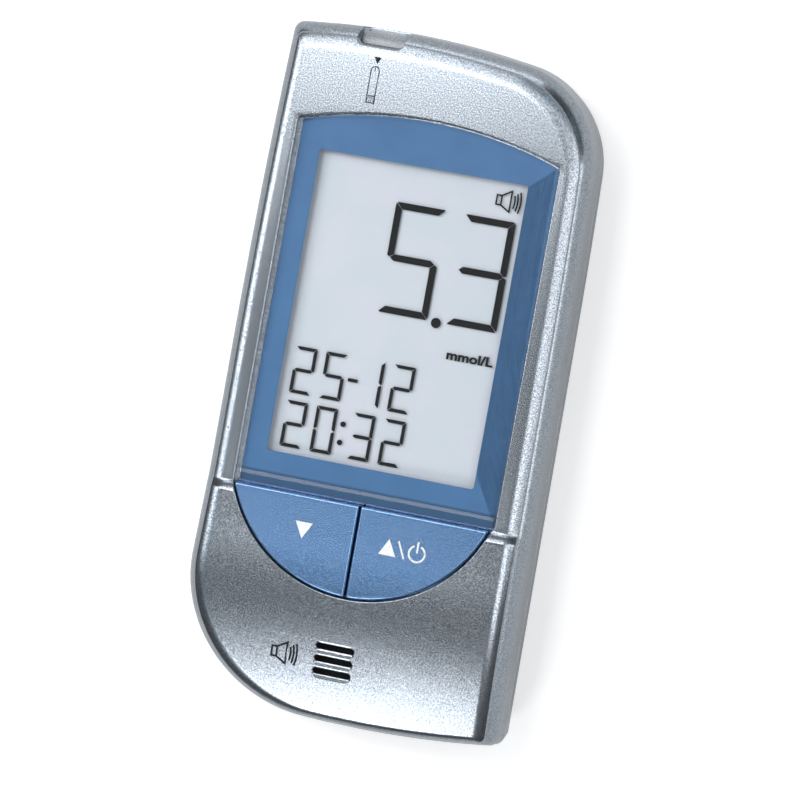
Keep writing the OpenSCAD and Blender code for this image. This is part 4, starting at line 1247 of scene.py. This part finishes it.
# ---- Operators ----
class METER_OT_body(bpy.types.Operator):
    """Builds the front and rear housings, the battery cover and the strip port"""

    bl_idname = "meter.body"
    bl_label = "Build body"

    def execute(self, context):
        s = context.scene.meter_body
        m = store["materials"]
        settle(front_shell(s), m["silver"], "housing", ["front_housing"], 32)
        settle(rear_shell(s), m["silver"], "housing", ["rear_housing"], 32)
        settle(cover_shell(s), m["silver"], "battery_cover", ["battery_cover"], 32)
        settle(port_insert(), m["port_grey"], "housing", ["strip_port"])
        return {"FINISHED"}


class METER_OT_display(bpy.types.Operator):
    """Builds the lens, its printed border, the display and its dark segments"""

    bl_idname = "meter.display"
    bl_label = "Build display"

    def execute(self, context):
        m = store["materials"]
        settle(lens_plate(), m["lens_clear"], "housing", ["display_lens"], 12)
        settle(lens_print(), m["lens_blue"], "housing")
        low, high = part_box("lcd_glass")
        x0, y0, x1, y1 = (v / MM for v in (low.x, low.y, high.x, high.y))
        panel = block("display_panel", x0, x1, y0, y1, GLASS_Z, PANEL_TOP)
        settle(panel, m["lcd_back"], "housing", ["lcd_glass"])
        marks = display_marks(context.scene.meter_display)
        settle(marks, m["lcd_black"], "housing")
        return {"FINISHED"}


class METER_OT_keys(bpy.types.Operator):
    """Builds the two keys and the signs on them"""

    bl_idname = "meter.keys"
    bl_label = "Build keys"

    def execute(self, context):
        m = store["materials"]
        edge = context.scene.meter_body.key_edge / MM
        signs = key_marks()
        for s, node, name in ((-1, "down_key", "down_cap"), (1, "power_key", "power_cap")):
            settle(key_cap(name, s, edge), m["key_blue"], node, [node], 32)
            mark = plates(
                name + "_sign", signs[s], lambda y: key_face(y) - SIGN_SINK,
                lambda y: key_face(y) + SIGN_T,
            )
            settle(mark, m["white_ink"], node)
        return {"FINISHED"}


class METER_OT_signs(bpy.types.Operator):
    """Prints the strip sign and the loudspeaker sign on the front housing"""

    bl_idname = "meter.signs"
    bl_label = "Print signs"

    def execute(self, context):
        shapes = strip_sign(PORT_X, Y_TOP - NOTCH_DEPTH)
        shapes += speaker_sign(SLOT_X + SIGN_DX, SLOT_Y + SIGN_DY, 1.0, SIGN_LINE)
        signs = plates(
            "housing_signs", shapes, lambda y: face_below(y) - SIGN_SINK,
            lambda y: face_below(y) + 0.8 * SIGN_T,
        )
        settle(signs, store["materials"]["black_ink"], "housing")
        return {"FINISHED"}


class METER_OT_inside(bpy.types.Operator):
    """Gives every carried-over node of the frame its finish"""

    bl_idname = "meter.inside"
    bl_label = "Finish inside"

    def execute(self, context):
        finishes = {
            node: grained(node.replace("_", " "), *finish) for node, finish in NODE_FINISHES.items()
        }
        for node, s in (("battery_left", 1), ("battery_right", -1)):
            finishes[node] = cell_material(node.replace("_", " "), s)
        for node, material in finishes.items():
            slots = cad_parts[node].data.materials
            slots.clear()
            slots.append(material)
        return {"FINISHED"}


# Panels of light: name: (centre in mm, width, height, heading, strength, colour). A panel
# without a heading hangs overhead and faces down; one with a heading stands on that side.
WHITE, COOL, COLD = "#ffffff", "#d6f1ff", "#bdefff"
LAMPS = {
    "key": ((-145, 145, 601), 197, 116, None, 8.4, WHITE),
    "key_left": ((-325, 232, 601), 162, 290, None, 4.5, WHITE),
    "key_back": ((-145, 420, 601), 197, 435, None, 3, WHITE),
    "left_far": ((-580, 87, 601), 348, 232, None, 5.2, WHITE),
    "left_low_far": ((-580, -101, 601), 348, 145, None, 3.6, WHITE),
    "left_low": ((-325, -125, 601), 162, 99, None, 1.7, COOL),
    "lower_wide": ((-325, -528, 601), 162, 452, None, 0.62, COOL),
    "lower_front": ((-145, -580, 601), 197, 348, None, 8.0, WHITE),
    "over_keys": ((-125, -108, 601), 130, 36, None, 3.2, WHITE),
    "lower_middle": ((-93, -354, 601), 93, 104, None, 4.9, WHITE),
    "right_upper": ((122, 230, 601), 336, 120, None, 1.7, WHITE),
    "right_strip": ((180, 30, 601), 220, 180, None, 2.4, WHITE),
    "right_strip_low": ((180, -130, 601), 220, 140, None, 3.8, WHITE),
    "right_high": ((464, 107, 601), 348, 365, None, 2.6, WHITE),
    "right_back": ((122, 464, 601), 336, 348, None, 0.5, COOL),
    "right_wall": ((640, 0, 89), 400, 162, 0, 3.2, WHITE),
    "right_wall_back": ((640, 420, 270), 440, 200, 0, 0.34, COLD),
    "back_wall": ((0, 640, 89), 400, 162, 90, 2.5, WHITE),
}


def camera_axes():
    """The camera's right, up and backward directions."""
    tilt, side, roll = (math.radians(a) for a in CAMERA_TURN)
    back = Vector(
        (math.sin(tilt) * math.cos(side), math.sin(tilt) * math.sin(side), math.cos(tilt))
    )
    x = (Vector((1, 0, 0)) - back * back.x).normalized()
    y = back.cross(x)
    right = x * math.cos(roll) + y * math.sin(roll)
    up = y * math.cos(roll) - x * math.sin(roll)
    return right, up, back


def add_camera(scene):
    right, up, back = camera_axes()
    data = bpy.data.cameras.new("camera")
    data.lens = CAMERA_LENS
    data.sensor_width = 36
    data.clip_start, data.clip_end = 0.01, 10
    camera = bpy.data.objects.new("camera", data)
    spot = Vector(CAMERA_AIM) * MM + back * CAMERA_AWAY
    camera.matrix_world = Matrix(
        [(*row, place) for row, place in zip(zip(right, up, back), spot)] + [(0, 0, 0, 1)]
    )
    scene.collection.objects.link(camera)
    scene.camera = camera


def add_lamp(scene, name, place, width, height, heading, strength, colour):
    """A panel of light; strength is the radiance of its face, and white reads 1."""
    lamp = bpy.data.lights.new(name, "AREA")
    lamp.shape = "RECTANGLE"
    lamp.size, lamp.size_y = width * MM, height * MM
    lamp.energy = strength * math.pi * lamp.size * lamp.size_y
    lamp.color = linear(colour)[:3]
    obj = bpy.data.objects.new(name, lamp)
    obj.matrix_world = Matrix.Translation(Vector(place) * MM)
    if heading is not None:
        obj.matrix_world @= Matrix.Rotation(math.radians(heading + 90), 4, "Z")
        obj.matrix_world @= Matrix.Rotation(math.radians(90), 4, "X")
    scene.collection.objects.link(obj)


def add_world(scene, strength):
    """A faint even light from all round."""
    world = bpy.data.worlds.new("room")
    scene.world = world
    world.use_nodes = True
    tree = world.node_tree
    tree.nodes.clear()
    glow = add(tree, "ShaderNodeBackground", Color=linear("#e4eaf2"), Strength=strength)
    out = tree.nodes.new("ShaderNodeOutputWorld")
    tree.links.new(glow.outputs[0], out.inputs["Surface"])


class METER_OT_stage(bpy.types.Operator):
    """Sets up the floor, the lamps, the world and the camera"""

    bl_idname = "meter.stage"
    bl_label = "Set the stage"

    def execute(self, context):
        scene = context.scene
        half = FLOOR_HALF
        floor = block("floor", -half, half, -half, half, -2, -0.01)
        floor.data.materials.append(floor_material(scene.meter_stage))
        add_camera(scene)
        for name, panel in LAMPS.items():
            add_lamp(scene, name, *panel)
        add_world(scene, scene.meter_stage.world)
        scene.view_settings.view_transform = "Standard"
        return {"FINISHED"}


class METER_PT_panel(bpy.types.Panel):
    """Settings and build steps in the sidebar"""

    bl_label = "Glucose meter"
    bl_idname = "METER_PT_panel"
    bl_space_type = "VIEW_3D"
    bl_region_type = "UI"
    bl_category = "Meter"

    def draw(self, context):
        for group in ("meter_body", "meter_display", "meter_stage"):
            settings = getattr(context.scene, group)
            for name in settings.__annotations__:
                self.layout.prop(settings, name)
        for operator in STEPS:
            self.layout.operator(operator.bl_idname)


STEPS = (
    METER_OT_body, METER_OT_display, METER_OT_keys, METER_OT_signs, METER_OT_inside,
    METER_OT_stage,
)
GROUPS = {
    "meter_body": MeterBodySettings,
    "meter_display": MeterDisplaySettings,
    "meter_stage": MeterStageSettings,
}
# The finishes, made once for all operators
store = {}


def register():
    for group, cls in GROUPS.items():
        bpy.utils.register_class(cls)
        setattr(bpy.types.Scene, group, bpy.props.PointerProperty(type=cls))
    for cls in (*STEPS, METER_PT_panel):
        bpy.utils.register_class(cls)


def unregister():
    for cls in (METER_PT_panel, *STEPS[::-1]):
        bpy.utils.unregister_class(cls)
    for group, cls in GROUPS.items():
        delattr(bpy.types.Scene, group)
        bpy.utils.unregister_class(cls)


def main():
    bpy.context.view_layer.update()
    register()
    store["materials"] = materials(bpy.context.scene.meter_body)
    for step in STEPS:
        group, name = step.bl_idname.split(".")
        getattr(getattr(bpy.ops, group), name)()


if __name__ == "__main__":
    main()
